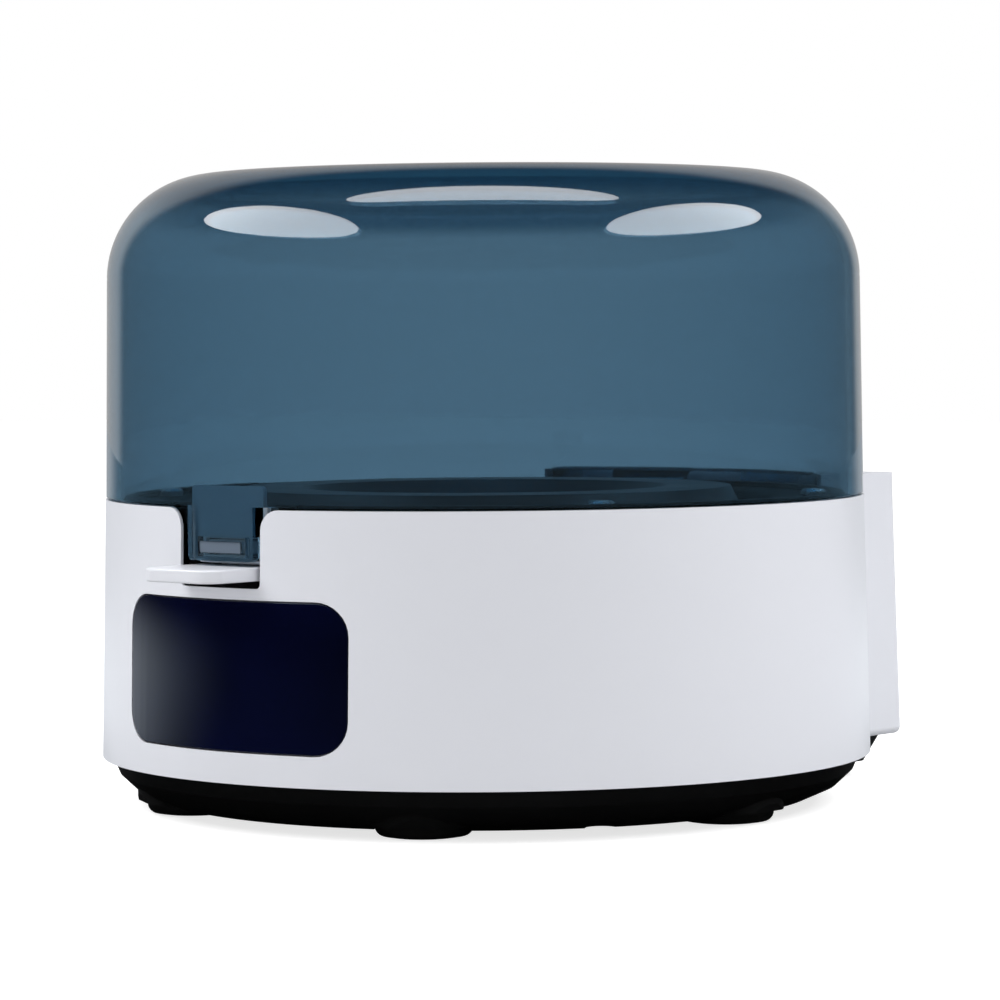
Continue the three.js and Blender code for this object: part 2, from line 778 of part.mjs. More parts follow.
function buildPan() {
  const lipOuter = housingRadiusAt(housingFootHeight + panLipHeight) - housingWall - clearance;
  const lipInner = lipOuter - panLipThickness;
  const lipTop = panRimHeight + panLipHeight;
  const outer = turned([
    [0, panHeight],
    [panFlatRadius, panHeight],
    [panBendRadius, panBendHeight],
    [panSideRadius, panSideHeight],
    [panRimRadius, panRimHeight],
    [lipOuter, panRimHeight],
    [lipOuter, lipTop],
    [0, lipTop],
  ]);
  const inner = turned([
    [0, panHeight + panWall],
    [panFlatRadius - panWall / 2, panHeight + panWall],
    [lipInner - panWall / 2, panSideHeight],
    [lipInner, panRimHeight],
    [lipInner, lipTop + overrun],
    [0, lipTop + overrun],
  ]);
  const tail = panTail(0, [panTailLowHeight, panRimHeight]);
  const tailHollow = panTail(panWall, [panTailLowHeight + panWall, panRimHeight + overrun]);
  const blockOpening = box(
    [-blockHalfWidth + housingWall + panTailInset, blockHalfWidth - housingWall - panTailInset],
    [footCircle, panRimRadius + overrun],
    [panRimHeight - overrun / 2, lipTop + overrun],
  );
  const blockWallGap = box(
    [-blockHalfWidth - overrun, blockHalfWidth + overrun],
    [postCircle, panRimRadius + overrun],
    [panRimHeight, lipTop + overrun],
  );
  let pan = cut(join(outer, tail), inner, tailHollow, blockOpening, blockWallGap);

  const pocketRadius = footRadius + clearance;
  const pocketTop = footHeight + clearance;
  for (const [x, y] of footPlaces()) {
    const bossSpan = [panHeight + panWall / 2, pocketTop + footBossWall];
    const boss = cylinderZ(x, y, pocketRadius + footBossWall, bossSpan, footFacets);
    const limit = turned([
      [0, panHeight],
      [panFlatRadius, panHeight],
      [panBendRadius, panBendHeight],
      [panSideRadius, panSideHeight],
      [panSideRadius, pocketTop + 2 * footBossWall],
      [0, pocketTop + 2 * footBossWall],
    ]);
    pan = pan.add(boss.intersect(limit));
  }
  for (const [x, y] of postPlaces) {
    const room = postRadius + clearance;
    const span = [postBottom - clearance, lipTop + overrun];
    const slot = box([0, housingFootRadius - postCircle], [-room, room], span);
    pan = pan.subtract(cylinderZ(x, y, room, span));
    pan = pan.subtract(moved(slot.rotate([0, 0, Math.atan2(y, x) / degree]), x, y, 0));
    pan = pan.add(cylinderZ(x, y, postRadius, [panHeight + panWall / 2, postBottom - clearance]));
  }
  for (const [x, y] of postPlaces) {
    const wellTop = panHeight + wellDepth;
    pan = pan.subtract(cylinderZ(x, y, wellRadius, [-overrun, wellTop]));
    pan = pan.subtract(cylinderZ(x, y, screwRadius + clearance, [wellTop - overrun, postBottom + overrun]));
  }
  for (const [x, y] of damperPlaces()) {
    const top = plateHeight - damperLip - clearance;
    pan = pan.add(cylinderZ(x, y, damperRadius, [panHeight + panWall / 2, top]));
    pan = pan.subtract(cylinderZ(x, y, screwRadius + clearance, [top - pilotDepth, top + overrun]));
  }
  for (const [x, y] of boardPostPlaces()) {
    const top = mainBoardHeight - clearance;
    pan = pan.add(cylinderZ(x, y, mainBoardPostRadius, [panHeight + panWall / 2, top]));
    pan = pan.subtract(cylinderZ(x, y, screwRadius + clearance, [top - panWall, top + overrun]));
  }
  for (const [x, y] of footPlaces()) {
    pan = pan.subtract(cylinderZ(x, y, pocketRadius, [-overrun, pocketTop], footFacets));
  }
  for (let i = 0; i < ventCount; i += 1) {
    const y = (i - (ventCount - 1) / 2) * ventPitch;
    const slot = box(
      [motorRadius + ventMargin, footCircle - ventFootMargin],
      [y - ventWidth / 2, y + ventWidth / 2],
      [panHeight - overrun, panHeight + panWall + overrun],
    );
    pan = cut(pan, slot, slot.mirror([1, 0, 0]));
  }
  return pan;
}

function footSolid() {
  const low = arc(footRadius - footRound, footRound, footRound, footArcStart, 0, 3);
  return turned([
    [0, 0],
    [footFlatRadius, 0],
    ...low,
    [footRadius, footHeight],
    [0, footHeight],
  ], footFacets);
}

// Bowl with its deck and lip, and the gasket on the lip

const gasketTop = partingHeight + gasketTopRise;
const lipOuterRadius = gasketRadius - gasketSkin - clearance;
const lipInnerRadius = lipOuterRadius - lipThickness;

function buildBowl() {
  const lipTop = gasketTop - gasketSkin - clearance;
  const collarTop = bowlFloorHeight + bowlCollarHeight;
  const floorBottom = bowlFloorHeight - bowlWall;
  let bowl = turned([
    [bowlHoleRadius, floorBottom],
    [bowlHoleRadius, collarTop],
    [bowlHoleRadius + bowlWall, collarTop],
    [bowlHoleRadius + bowlWall, bowlFloorHeight],
    ...arc(bowlFloorRadius - bowlFillet, bowlFloorHeight + bowlFillet, bowlFillet, -90, 0, 3),
    [bowlTopRadius, deckTop - bowlWall],
    [bowlTopRadius + bowlWall, deckTop],
    [lipInnerRadius, deckTop],
    [lipInnerRadius, lipTop],
    [lipOuterRadius, lipTop],
    [lipOuterRadius, deckTop],
    [deckRadius, deckTop],
    [deckRadius, deckBottom],
    [bowlTopRadius + bowlWall, deckBottom],
    ...arc(bowlFloorRadius - bowlFillet, bowlFloorHeight + bowlFillet, bowlFillet + bowlWall, 0, -90, 3),
  ]);
  const breakHalf = rimBreakAngle + endBlockAngle;
  bowl = bowl.subtract(wedge(-breakHalf, breakHalf, deckRadius + overrun, [deckTop, gasketTop]));
  for (const side of [-1, 1]) {
    const ends = [side * rimBreakAngle, side * breakHalf];
    const ring = turned([
      [lipInnerRadius, deckTop - overrun],
      [gasketRadius, deckTop - overrun],
      [gasketRadius, gasketTop],
      [lipInnerRadius, gasketTop],
    ]);
    const sector = wedge(Math.min(...ends), Math.max(...ends), 2 * gasketRadius, [0, 2 * gasketTop]);
    bowl = bowl.add(ring.intersect(sector));
  }
  const holeSpan = [deckBottom - overrun, deckTop + overrun];
  for (const [x, y] of postPlaces) {
    bowl = bowl.subtract(cylinderZ(x, y, screwRadius + clearance, holeSpan));
  }
  for (const side of [-1, 1]) {
    bowl = bowl.subtract(cylinderZ(
      side * guideScrewX(),
      -guideScrewY(),
      screwRadius + clearance,
      [deckBottom - overrun, deckTop - deckThickness / 4],
    ));
  }
  return bowl;
}

function buildGasket() {
  const lipTop = gasketTop - gasketSkin;
  const foot = deckTop + clearance;
  const ring = turned([
    [lipOuterRadius + clearance, foot],
    [gasketRadius, foot],
    [gasketRadius, gasketTop - clearance],
    [gasketRadius - clearance, gasketTop],
    [lipInnerRadius, gasketTop],
    [lipInnerRadius, lipTop],
    [lipOuterRadius + clearance, lipTop],
  ]);
  const half = rimBreakAngle + endBlockAngle + clearance / gasketRadius / degree * 2;
  return ring.subtract(wedge(-half, half, 2 * gasketRadius, [0, 2 * gasketTop]));
}

// Lid

function buildLid() {
  const rim = partingHeight + lidGap;
  const shoulder = partingHeight + lidShoulderRise;
  const filletCentre = lidShoulderRadius - lidFilletRadius;
  const top = shoulder + lidFilletRadius;
  const innerFillet = lidFilletRadius - lidWall;
  const outer = turned([
    [0, rim],
    [lidRimRadius, rim],
    [lidShoulderRadius, shoulder],
    ...arc(filletCentre, shoulder, lidFilletRadius, lidFilletStart, 90, 5),
    [0, top + lidCrown],
  ]);
  const inner = turned([
    [0, rim - overrun],
    [lidRimRadius - lidWall, rim - overrun],
    [lidShoulderRadius - lidWall, shoulder],
    ...arc(filletCentre, shoulder + lidWall - lidRoof, innerFillet, lidFilletStart, 90, 5),
    [0, top - lidRoof + lidCrown],
  ]);
  return hingeOnLid(tongueOnLid(cut(outer, inner)));
}

function tongueOnLid(lid) {
  const low = partingHeight - tongueDrop;
  const half = tongueWidth / 2;
  const sheet = turned([
    [tongueFace, low],
    [lidRimRadius, low],
    [lidRimRadius, partingHeight + lidGap + overrun],
    [tongueFace, partingHeight + lidGap + overrun],
  ]);
  const outline = through([
    ...arc(half - tongueCorner, low + tongueCorner, tongueCorner, -90, 0, 3),
    [half, partingHeight + 2 * overrun],
    [-half, partingHeight + 2 * overrun],
    ...arc(-half + tongueCorner, low + tongueCorner, tongueCorner, 180, 270, 3),
  ], [-lidRimRadius - overrun, 0]);
  const noseMiddle = partingHeight - noseTopDrop - noseHeight / 2;
  const pocket = box(
    [-pocketWidth / 2, pocketWidth / 2],
    [-tongueFace - pocketDepth + clearance, -tongueFace + lidWall],
    [noseMiddle - pocketHeight / 2, noseMiddle + pocketHeight / 2],
  );
  return lid.add(sheet.intersect(outline)).subtract(pocket);
}

function hingeOnLid(lid) {
  const underside = partingHeight + flangeLift;
  const topside = underside + flangeThickness;
  const half = blockHalfWidth - cheekWidth - 2 * clearance;
  const flangeRear = pinBehindAxis - ridgeRadius - 2 * clearance;
  const flangeFront = Math.sqrt(lidRimRadius ** 2 - half ** 2) - lidWall;
  const keep = turned([
    [lidRimRadius - lidWall / 2, 0],
    [2 * lidRimRadius, 0],
    [2 * lidRimRadius, 2 * partingHeight],
    [lidRimRadius - lidWall / 2, 2 * partingHeight],
  ]);
  const slab = box([-half, half], [flangeFront - lidWall / 2, flangeRear], [underside, topside]);
  const fillet = turned([
    [lidRimRadius - lidWall / 2, topside - clearance],
    [lidRimRadius + flangeFillet, topside - clearance],
    ...arc(lidRimRadius + flangeFillet, topside + flangeFillet, flangeFillet, 270, 180, 4),
    [lidRimRadius - lidWall / 2, topside + flangeFillet],
  ]);
  const filletSpan = box([-half, half], [0, flangeRear], [0, 2 * partingHeight]);
  let hinged = join(lid, slab.intersect(keep), fillet.intersect(filletSpan));
  for (const side of [-1, 1]) {
    const ends = [side * knuckleInner, side * knuckleOuter];
    const span = [Math.min(...ends), Math.max(...ends)];
    const knuckle = cylinderX(pinBehindAxis, pinHeight, knuckleRadius, span, midFacets);
    const web = box(span, [flangeRear - overrun, pinBehindAxis], [underside, pinHeight + knuckleRadius]);
    hinged = hinged.add(knuckle).add(web);
    hinged = hinged.subtract(cylinderX(pinBehindAxis, pinHeight, pinRadius + clearance, [
      span[0] - overrun,
      span[1] + overrun,
    ]));
  }
  return hinged;
}

// Latch

function guideHalfWidth() {
  return tabWidth / 2 + clearance + guideWall + guideEar;
}

function guideScrewX() {
  return notchHalfWidth + guideWall + guideEar / 2;
}

function guideScrewY() {
  return (guideRear - guideWall + postRear) / 2;
}

function buildLatchButton() {
  const front = housingRadiusAt(tabTop) + tabReach;
  const half = tabWidth / 2;
  const slab = upright([
    ...arc(-half + tabCorner, -front + tabCorner, tabCorner, 180, 270, 5),
    ...arc(half - tabCorner, -front + tabCorner, tabCorner, 270, 360, 5),
    [half, -postRear],
    [-half, -postRear],
  ], [tabBottom, tabTop]);
  const post = box(
    [-noseWidth / 2, noseWidth / 2],
    [-postFront, -postRear],
    [tabBottom, partingHeight - noseTopDrop],
  );
  const nose = box(
    [-noseWidth / 2, noseWidth / 2],
    [-noseFront, -postRear],
    [partingHeight - noseTopDrop - noseHeight, partingHeight - noseTopDrop],
  );
  return join(slab, post, nose);
}

function buildLatchGuide() {
  const inner = tabWidth / 2 + clearance;
  const outer = inner + guideWall;
  const front = postFront + noseReach;
  const floorTop = tabBottom - clearance;
  const top = deckBottom - clearance;
  const floor = box([-outer, outer], [-front, -guideRear], [floorTop - guideWall, floorTop]);
  const back = box([-outer, outer], [-guideRear, -guideRear + guideWall], [floorTop - guideWall, top]);
  let guide = join(floor, back);
  for (const side of [-1, 1]) {
    const wall = [side * inner, side * outer];
    const ear = [side * inner, side * (outer + guideEar)];
    const wallSpan = [Math.min(...wall), Math.max(...wall)];
    const earSpan = [Math.min(...ear), Math.max(...ear)];
    const length = [-front, -guideRear + guideWall];
    const earLength = [-postRear, -guideRear + guideWall];
    guide = guide.add(box(wallSpan, length, [floorTop - guideWall, top]));
    guide = guide.add(box(earSpan, earLength, [top - guideWall, top]));
    guide = guide.subtract(cylinderZ(side * guideScrewX(), -guideScrewY(), screwRadius + clearance, [
      top - guideWall - overrun,
      top + overrun,
    ]));
  }
  return guide;
}

class Helix extends THREE.Curve {
  getPoint(t, target = new THREE.Vector3()) {
    const angle = t * springTurns * 2 * Math.PI;
    const room = guideRear + clearance + springWire;
    const length = postRear - clearance - springWire - room;
    return target.set(
      springRadius * Math.cos(angle),
      -(room + length * t),
      tabTop + springRadius * Math.sin(angle) + springRadius,
    );
  }
}

function ring(radius, sides) {
  return new THREE.Shape(arc(0, 0, radius, 0, 360 - 360 / sides, sides - 1)
    .map(([x, y]) => new THREE.Vector2(x, y)));
}

function alongCurve(shape, curve, steps) {
  return toSolid(new THREE.ExtrudeGeometry(shape, { steps, bevelEnabled: false, extrudePath: curve }));
}

// Display

function buildLens() {
  return through(lensOutline(0), [-housingFootRadius - overrun, 0])
    .intersect(outerSkin(lensThickness, 0));
}

function buildDisplayBoard() {
  const rear = -displayBoardFront + boardThickness;
  const half = displayBoardWidth / 2;
  let board = box(
    [-half, half],
    [-displayBoardFront, rear],
    [displayMiddle - displayBoardHeight / 2, displayMiddle + displayBoardHeight / 2],
  );
  board = board.add(box(
    [-chipSize / 2, chipSize / 2],
    [rear - boardThickness / 2, rear + chipHeight],
    [displayMiddle - chipSize / 2, displayMiddle + chipSize / 2],
  ));
  for (const side of [-1, 1]) {
    board = board.subtract(cylinderY(side * displayBossSpread, displayMiddle, screwRadius + clearance, [
      -displayBoardFront - overrun,
      rear + overrun,
    ]));
  }
  return board;
}

function displayScrew(name, side) {
  const seat = -displayBoardFront + boardThickness;
  const screw = screwSolid(boardThickness + displayScrewReach - clearance).rotate([-90, 0, 0]);
  piece(name, moved(screw, side * displayBossSpread, seat + clearance / 3, displayMiddle), steel, 0.35, 1);
}

// Rotor and drive

const socketHeight = rotorHubTop + socketCircle - (rotorRimInner - (rotorTopHeight - rotorHubTop));

// The turned body with its eight sockets, whose mouths open on the cone.
function buildRotor() {
  const coneInner = rotorRimInner - (rotorTopHeight - rotorHubTop);
  let rotor = turned([
    [shaftSeatRadius + clearance, hubBottom()],
    [rotorHubRadius, hubBottom()],
    [rotorHubRadius + rotorChamfer, hubBottom() + rotorChamfer],
    [rotorUnderRadius, rotorLowHeight],
    [rotorRadius - 2 * rotorChamfer, rotorLowHeight],
    [rotorRadius - rotorChamfer / 2, rotorLowHeight + 2 * rotorChamfer],
    [rotorRadius, rotorTopHeight - 2 * rotorChamfer],
    [rotorRadius - rotorChamfer, rotorTopHeight],
    [rotorRimInner, rotorTopHeight],
    [coneInner, rotorHubTop],
    [shaftSeatRadius + clearance, rotorHubTop],
  ], bigFacets);
  for (let i = 0; i < socketCount; i += 1) {
    rotor = rotor.subtract(socketCutter().rotate([0, 0, i * 360 / socketCount]));
  }
  return rotor;
}

function hubBottom() {
  return bowlFloorHeight + bowlCollarHeight + 2 * clearance + shaftFlangeThickness;
}

// One tube socket, leaning outwards and down at 45 degrees from the cone's face.
function socketCutter() {
  const deep = socketDepth + socketTipDepth;
  const cutter = turned([
    [0, -deep],
    [socketTipRadius, -deep],
    [socketRadius, -socketDepth],
    [socketRadius, socketDepth],
    [0, socketDepth],
  ], socketFacets);
  return moved(cutter.rotate([0, -45, 0]), socketCircle, 0, socketHeight);
}

function buildKnob() {
  const low = rotorHubTop + clearance;
  const outline = [];
  const perFlute = 4;
  for (let i = 0; i < knobFlutes * perFlute; i += 1) {
    const angle = i / (knobFlutes * perFlute) * 2 * Math.PI;
    const radius = knobRadius - knobFluteDepth * (1 - Math.cos(angle * knobFlutes)) / 2;
    outline.push([radius * Math.cos(angle), radius * Math.sin(angle)]);
  }
  const fluted = upright(outline, [low, low + knobHeight]);
  const envelope = turned([
    [0, low],
    [knobRadius, low],
    [knobRadius, low + knobHeight - knobEdge],
    [knobRadius - knobEdge, low + knobHeight],
    [0, low + knobHeight],
  ], midFacets);
  const hole = cylinderZ(0, 0, studRadius + clearance, [low - overrun, studTop + clearance]);
  return fluted.intersect(envelope).subtract(hole);
}

function buildShaft() {
  const flangeLow = bowlFloorHeight + bowlCollarHeight + clearance;
  const flangeTop = flangeLow + shaftFlangeThickness;
  return turned([
    [0, motorTopHeight - motorBearingDepth + clearance],
    [shaftRadius, motorTopHeight - motorBearingDepth + clearance],
    [shaftRadius, flangeLow],
    [shaftFlangeRadius, flangeLow],
    [shaftFlangeRadius, flangeTop],
    [shaftSeatRadius, flangeTop],
    [shaftSeatRadius, rotorHubTop - clearance],
    [studRadius, rotorHubTop],
    [studRadius, studTop],
    [0, studTop],
  ], midFacets);
}

function buildMotor() {
  const edge = clearance * 3;
  const spigotTop = motorTopHeight + motorSpigotHeight;
  let motor = turned([
    [0, motorLowHeight],
    [motorRadius - edge, motorLowHeight],
    [motorRadius, motorLowHeight + edge],
    [motorRadius, motorTopHeight - edge],
    [motorRadius - edge, motorTopHeight],
    [motorSpigotRadius, motorTopHeight],
    [motorSpigotRadius, spigotTop],
    [0, spigotTop],
  ], midFacets);
  motor = motor.subtract(cylinderZ(0, 0, shaftRadius + clearance, [
    motorTopHeight - motorBearingDepth,
    spigotTop + overrun,
  ]));
  for (const side of [-1, 1]) {
    motor = motor.subtract(cylinderZ(side * faceScrewSpread, 0, screwRadius + clearance, [
      motorTopHeight - pilotDepth / 2,
      motorTopHeight + overrun,
    ]));
  }
  return motor;
}

function buildPlate() {
  const span = [plateHeight, plateHeight + plateThickness];
  const openSpan = [span[0] - overrun, span[1] + overrun];
  let plate = cylinderZ(0, 0, plateRadius, span, midFacets);
  plate = plate.subtract(cylinderZ(0, 0, motorSpigotRadius + clearance, openSpan, midFacets));
  for (const [x, y] of damperPlaces()) {
    plate = plate.subtract(cylinderZ(x, y, damperNeck + clearance, openSpan));
  }
  for (const side of [-1, 1]) {
    plate = plate.subtract(cylinderZ(side * faceScrewSpread, 0, screwRadius + clearance, openSpan));
  }
  return plate;
}

function damperSolid() {
  const low = plateHeight - damperLip;
  return turned([
    [screwRadius + clearance, low],
    [damperRadius, low],
    [damperRadius, plateHeight - clearance],
    [damperNeck, plateHeight - clearance],
    [damperNeck, plateHeight + plateThickness + clearance],
    [damperRadius, plateHeight + plateThickness + clearance],
    [damperRadius, damperTop],
    [screwRadius + clearance, damperTop],
  ], smallFacets);
}

// Main board and leads

const boardTop = mainBoardHeight + boardThickness;

function buildMainBoard() {
  let board = box(
    [-mainBoardHalfWidth, mainBoardHalfWidth],
    [mainBoardFront, mainBoardRear],
    [mainBoardHeight, boardTop],
  );
  const middle = (mainBoardFront + mainBoardRear) / 2;
  const root = boardTop - boardThickness / 2;
  const capacitorSpan = [root, boardTop + capacitorHeight];
  board = board.add(cylinderZ(-chipSize, middle + capacitorRadius, capacitorRadius, capacitorSpan));
  board = board.add(box([0, chipSize], [middle, middle + chipSize], [root, boardTop + chipHeight]));
  const plugY = mainBoardFront + plugDepth;
  board = board.add(box(
    [-plugWidth / 2, plugWidth / 2],
    [plugY, plugY + plugDepth],
    [root, boardTop + plugHeight],
  ));
  board = board.add(box(
    [plugWidth, plugWidth + plugDepth],
    [mainBoardRear - plugWidth - plugDepth, mainBoardRear - plugDepth],
    [root, boardTop + plugHeight],
  ));
  for (const [x, y] of boardPostPlaces()) {
    board = board.subtract(cylinderZ(x, y, screwRadius + clearance, [
      mainBoardHeight - overrun,
      boardTop + overrun,
    ]));
  }
  return board;
}

// A round lead that runs through the places given.
function lead(points) {
  const curve = new THREE.CatmullRomCurve3(points.map(([x, y, z]) => new THREE.Vector3(x, y, z)));
  return alongCurve(ring(leadRadius, leadSides), curve, leadSteps);
}

// A flat strip that follows a path in the YZ plane, thickened to the left of the way it runs.
function strip(path, thickness, span) {
  const points = path.map(([y, z]) => new THREE.Vector2(y, z));
  const turnLeft = (v) => new THREE.Vector2(-v.y, v.x);
  const side = points.map((point, i) => {
    const before = point.clone().sub(points[Math.max(i - 1, 0)]).normalize();
    const after = points[Math.min(i + 1, points.length - 1)].clone().sub(point).normalize();
    const normal = turnLeft(before.clone().add(after)).normalize();
    const straight = i === 0 ? after : before;
    const spread = Math.max(normal.dot(turnLeft(straight)), 1 / 2);
    return point.clone().addScaledVector(normal, thickness / spread);
  });
  const outline = [...points, ...side.reverse()].map((point) => [point.x, point.y]);
  return across(outline, span);
}

function buildRibbon() {
  const start = -displayBoardFront + boardThickness + clearance;
  const floor = panHeight + panWall + clearance;
  const bend = 2 * ribbonThickness;
  const drop = start + 3 * bend;
  const end = mainBoardFront - clearance - ribbonThickness;
  const middle = -ribbonOffset;
  return strip([
    [start, lensLowHeight + ribbonWidth / 2],
    [drop - bend, lensLowHeight + ribbonWidth / 2],
    [drop, lensLowHeight + ribbonWidth / 2 - bend],
    [drop, floor + bend],
    [drop + bend, floor],
    [end - 4 * bend, floor],
    [end - 2 * bend, mainBoardHeight],
    [end, mainBoardHeight],
  ], ribbonThickness, [middle - ribbonWidth / 2, middle + ribbonWidth / 2]);
}

function buildInletLead() {
  const start = recessFace() + switchFlange - inletDepth - clearance;
  const plugTop = boardTop + plugHeight + clearance;
  const crest = (plugTop + bowlFloorHeight - bowlWall) / 2;
  const x = plugWidth + plugDepth / 2;
  const y = mainBoardRear - plugDepth - 3 * plugWidth / 4;
  return lead([
    [-switchOffset, start, fittingHeight],
    [-switchOffset, start - plugDepth, fittingHeight],
    [-switchOffset / 2, y + plugDepth, crest],
    [x, y, crest],
    [x, y, plugTop],
  ]);
}

function buildSwitchLead() {
  const start = recessFace() - switchDepth - clearance;
  const plugTop = boardTop + plugHeight + clearance;
  const crest = (plugTop + bowlFloorHeight - bowlWall) / 2;
  const x = plugWidth + plugDepth / 2;
  const y = mainBoardRear - plugDepth - plugWidth / 4;
  return lead([
    [switchOffset, start, fittingHeight],
    [switchOffset, start - plugDepth, fittingHeight],
    [x, y, crest],
    [x, y, plugTop],
  ]);
}

function buildMotorLead() {
  const plugTop = boardTop + plugHeight + clearance;
  const y = mainBoardFront + 3 * plugDepth / 2;
  const z = plateHeight - plugHeight;
  return lead([
    [0, motorRadius + clearance, z],
    [0, motorRadius + plugDepth, z],
    [0, y, plugTop + leadRadius],
    [0, y, plugTop],
  ]);
}

// Rear fittings

function buildSwitchBody() {
  const face = recessFace();
  let body = box(
    [switchOffset - switchHalfWidth, switchOffset + switchHalfWidth],
    [face + clearance / 2, face + switchFlange],
    [fittingHeight - switchHalfHeight, fittingHeight + switchHalfHeight],
  );
  body = body.add(box(
    [switchOffset - switchBodyHalfWidth(), switchOffset + switchBodyHalfWidth()],
    [face - switchDepth, face + switchFlange / 2],
    [fittingHeight - switchBodyHalfHeight(), fittingHeight + switchBodyHalfHeight()],
  ));
  const well = box(
    [switchOffset - rockerHalfWidth - clearance, switchOffset + rockerHalfWidth + clearance],
    [face - rockerDepth - switchFlange, face + switchFlange + overrun],
    [fittingHeight - rockerHalfHeight - clearance, fittingHeight + rockerHalfHeight + clearance],
  );
  return body.subtract(well);
}

// The rocker tips about a line across its middle; it is built level, then tipped to off.
function buildRocker() {
  const face = recessFace() + switchFlange;
  const rise = rockerHalfHeight * Math.tan(rockerTilt * degree);
  const outline = [
    [face + rise / 2, -rockerHalfHeight + clearance],
    [face, 0],
    [face + rise / 2, rockerHalfHeight - clearance],
    [face - switchFlange, rockerHalfHeight - clearance],
    [face - rockerDepth + rise, 0],
    [face - switchFlange, -rockerHalfHeight + clearance],
  ];
  const solid = across(outline, [-rockerHalfWidth, rockerHalfWidth]);
  const pivot = face - rockerDepth / 2;
  return moved(moved(solid, 0, -pivot, 0).rotate([rockerTilt, 0, 0]), switchOffset, pivot, fittingHeight);
}

function buildInlet() {
  const face = recessFace() + switchFlange;
  let inlet = box(
    [-switchOffset - inletHalfWidth, -switchOffset + inletHalfWidth],
    [face - inletDepth, face],
    [fittingHeight - inletHalfHeight, fittingHeight + inletHalfHeight],
  );
  inlet = inlet.subtract(cylinderY(-switchOffset, fittingHeight, inletBoreRadius, [
    face - inletBoreDepth,
    face + overrun,
  ]));
  return inlet.add(cylinderY(-switchOffset, fittingHeight, inletPinRadius, [
    face - inletBoreDepth - overrun,
    face - overrun,
  ]));
}

// Assembly

piece('housing', buildHousing(), white, 0.3);
piece('bottom_pan', buildPan(), black, 0.55);
footPlaces().forEach(([x, y], i) => {
  piece(`foot_${i + 1}`, moved(footSolid(), x, y, 0), black, 0.85);
});
piece('bowl', buildBowl(), black, 0.4);
piece('rim_gasket', buildGasket(), black, 0.8);
piece('lid', buildLid(), smoke, 0.05, 0, { transparent: true, opacity: 0.55 });
piece('hinge_pin', cylinderX(pinBehindAxis, pinHeight, pinRadius, [
  -pinLength / 2,
  pinLength / 2,
]), steel, 0.3, 1);

piece('latch_button', buildLatchButton(), white, 0.3);
piece('latch_guide', buildLatchGuide(), black, 0.5);
const springShape = ring(springWire / 2, springSides);
piece('latch_spring', alongCurve(springShape, new Helix(), springTurns * springSteps), steel, 0.3, 1);
const guideSeat = deckBottom - clearance - guideWall - clearance / 3;
const guideScrewLength = guideWall + deckThickness / 2;
screwDown('latch_guide_screw_left', -guideScrewX(), -guideScrewY(), guideSeat, guideScrewLength);
screwDown('latch_guide_screw_right', guideScrewX(), -guideScrewY(), guideSeat, guideScrewLength);
piece('lid_sensor', box(
  [guideHalfWidth() + sensorDepth, guideHalfWidth() + sensorDepth + sensorWidth],
  [-bowlTopRadius - bowlWall - sensorDepth, -bowlTopRadius - bowlWall],
  [deckBottom - clearance - sensorHeight, deckBottom - clearance],
), black, 0.5);

piece('display_lens', buildLens(), 0x05070d, 0.05);
piece('display_module', box(
  [-moduleWidth / 2, moduleWidth / 2],
  [-moduleFront, -moduleFront + moduleThickness],
  [displayMiddle - moduleHeight / 2, displayMiddle + moduleHeight / 2],
), 0x20242c, 0.3);
piece('display_board', buildDisplayBoard(), boardGreen, 0.5);
displayScrew('display_screw_left', -1);
displayScrew('display_screw_right', 1);

piece('rotor', buildRotor(), rotorGrey, 0.4);
piece('rotor_knob', buildKnob(), black, 0.4);
piece('drive_shaft', buildShaft(), steel, 0.3, 1);
piece('motor', buildMotor(), 0x8b8f94, 0.35, 1);
piece('motor_plate', buildPlate(), steel, 0.4, 1);
damperPlaces().forEach(([x, y], i) => {
  piece(`motor_damper_${i + 1}`, moved(damperSolid(), x, y, 0), black, 0.85);
  const length = damperTop - plateHeight + pilotDepth / 2;
  screwUp(`motor_screw_${i + 1}`, x, y, damperTop + clearance / 3, length);
});
const faceSeat = plateHeight + plateThickness + clearance / 3;
screwUp('motor_face_screw_left', -faceScrewSpread, 0, faceSeat, plateThickness + pilotDepth / 3);
screwUp('motor_face_screw_right', faceScrewSpread, 0, faceSeat, plateThickness + pilotDepth / 3);

piece('main_board', buildMainBoard(), boardGreen, 0.5);
piece('display_ribbon', buildRibbon(), 0xc9ccd0, 0.5);
piece('motor_lead', buildMotorLead(), black, 0.5);
piece('inlet_lead', buildInletLead(), 0xa3242a, 0.5);
piece('switch_lead', buildSwitchLead(), black, 0.5);
const [boardFrontLeft, , , boardRearRight] = boardPostPlaces();
const boardScrewLength = boardThickness + panWall / 2;
screwUp('board_screw_front', ...boardFrontLeft, boardTop + clearance / 3, boardScrewLength);
screwUp('board_screw_rear', ...boardRearRight, boardTop + clearance / 3, boardScrewLength);

const postNames = ['front_right', 'rear_right', 'rear_left', 'front_left'];
postPlaces.forEach(([x, y], i) => {
  const under = panHeight + wellDepth - clearance / 3;
  screwDown(`pan_screw_${postNames[i]}`, x, y, under, postBottom - under + pilotDepth * 3 / 4);
  screwUp(`bowl_screw_${postNames[i]}`, x, y, deckTop + clearance / 3, deckThickness + pilotDepth * 3 / 4);
});

piece('power_switch', buildSwitchBody(), black, 0.45);
piece('power_rocker', buildRocker(), black, 0.35);
piece('dc_inlet', buildInlet(), black, 0.45);

export default group;
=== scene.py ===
# Mini centrifuge: white housing, smoke lid, curved window, black pan on rubber feet.
# Metres, +Z up, front towards -Y, the bench at z 0. Sizes in the dictionaries are millimetres.
import math

import bpy
from mathutils import Matrix, Vector


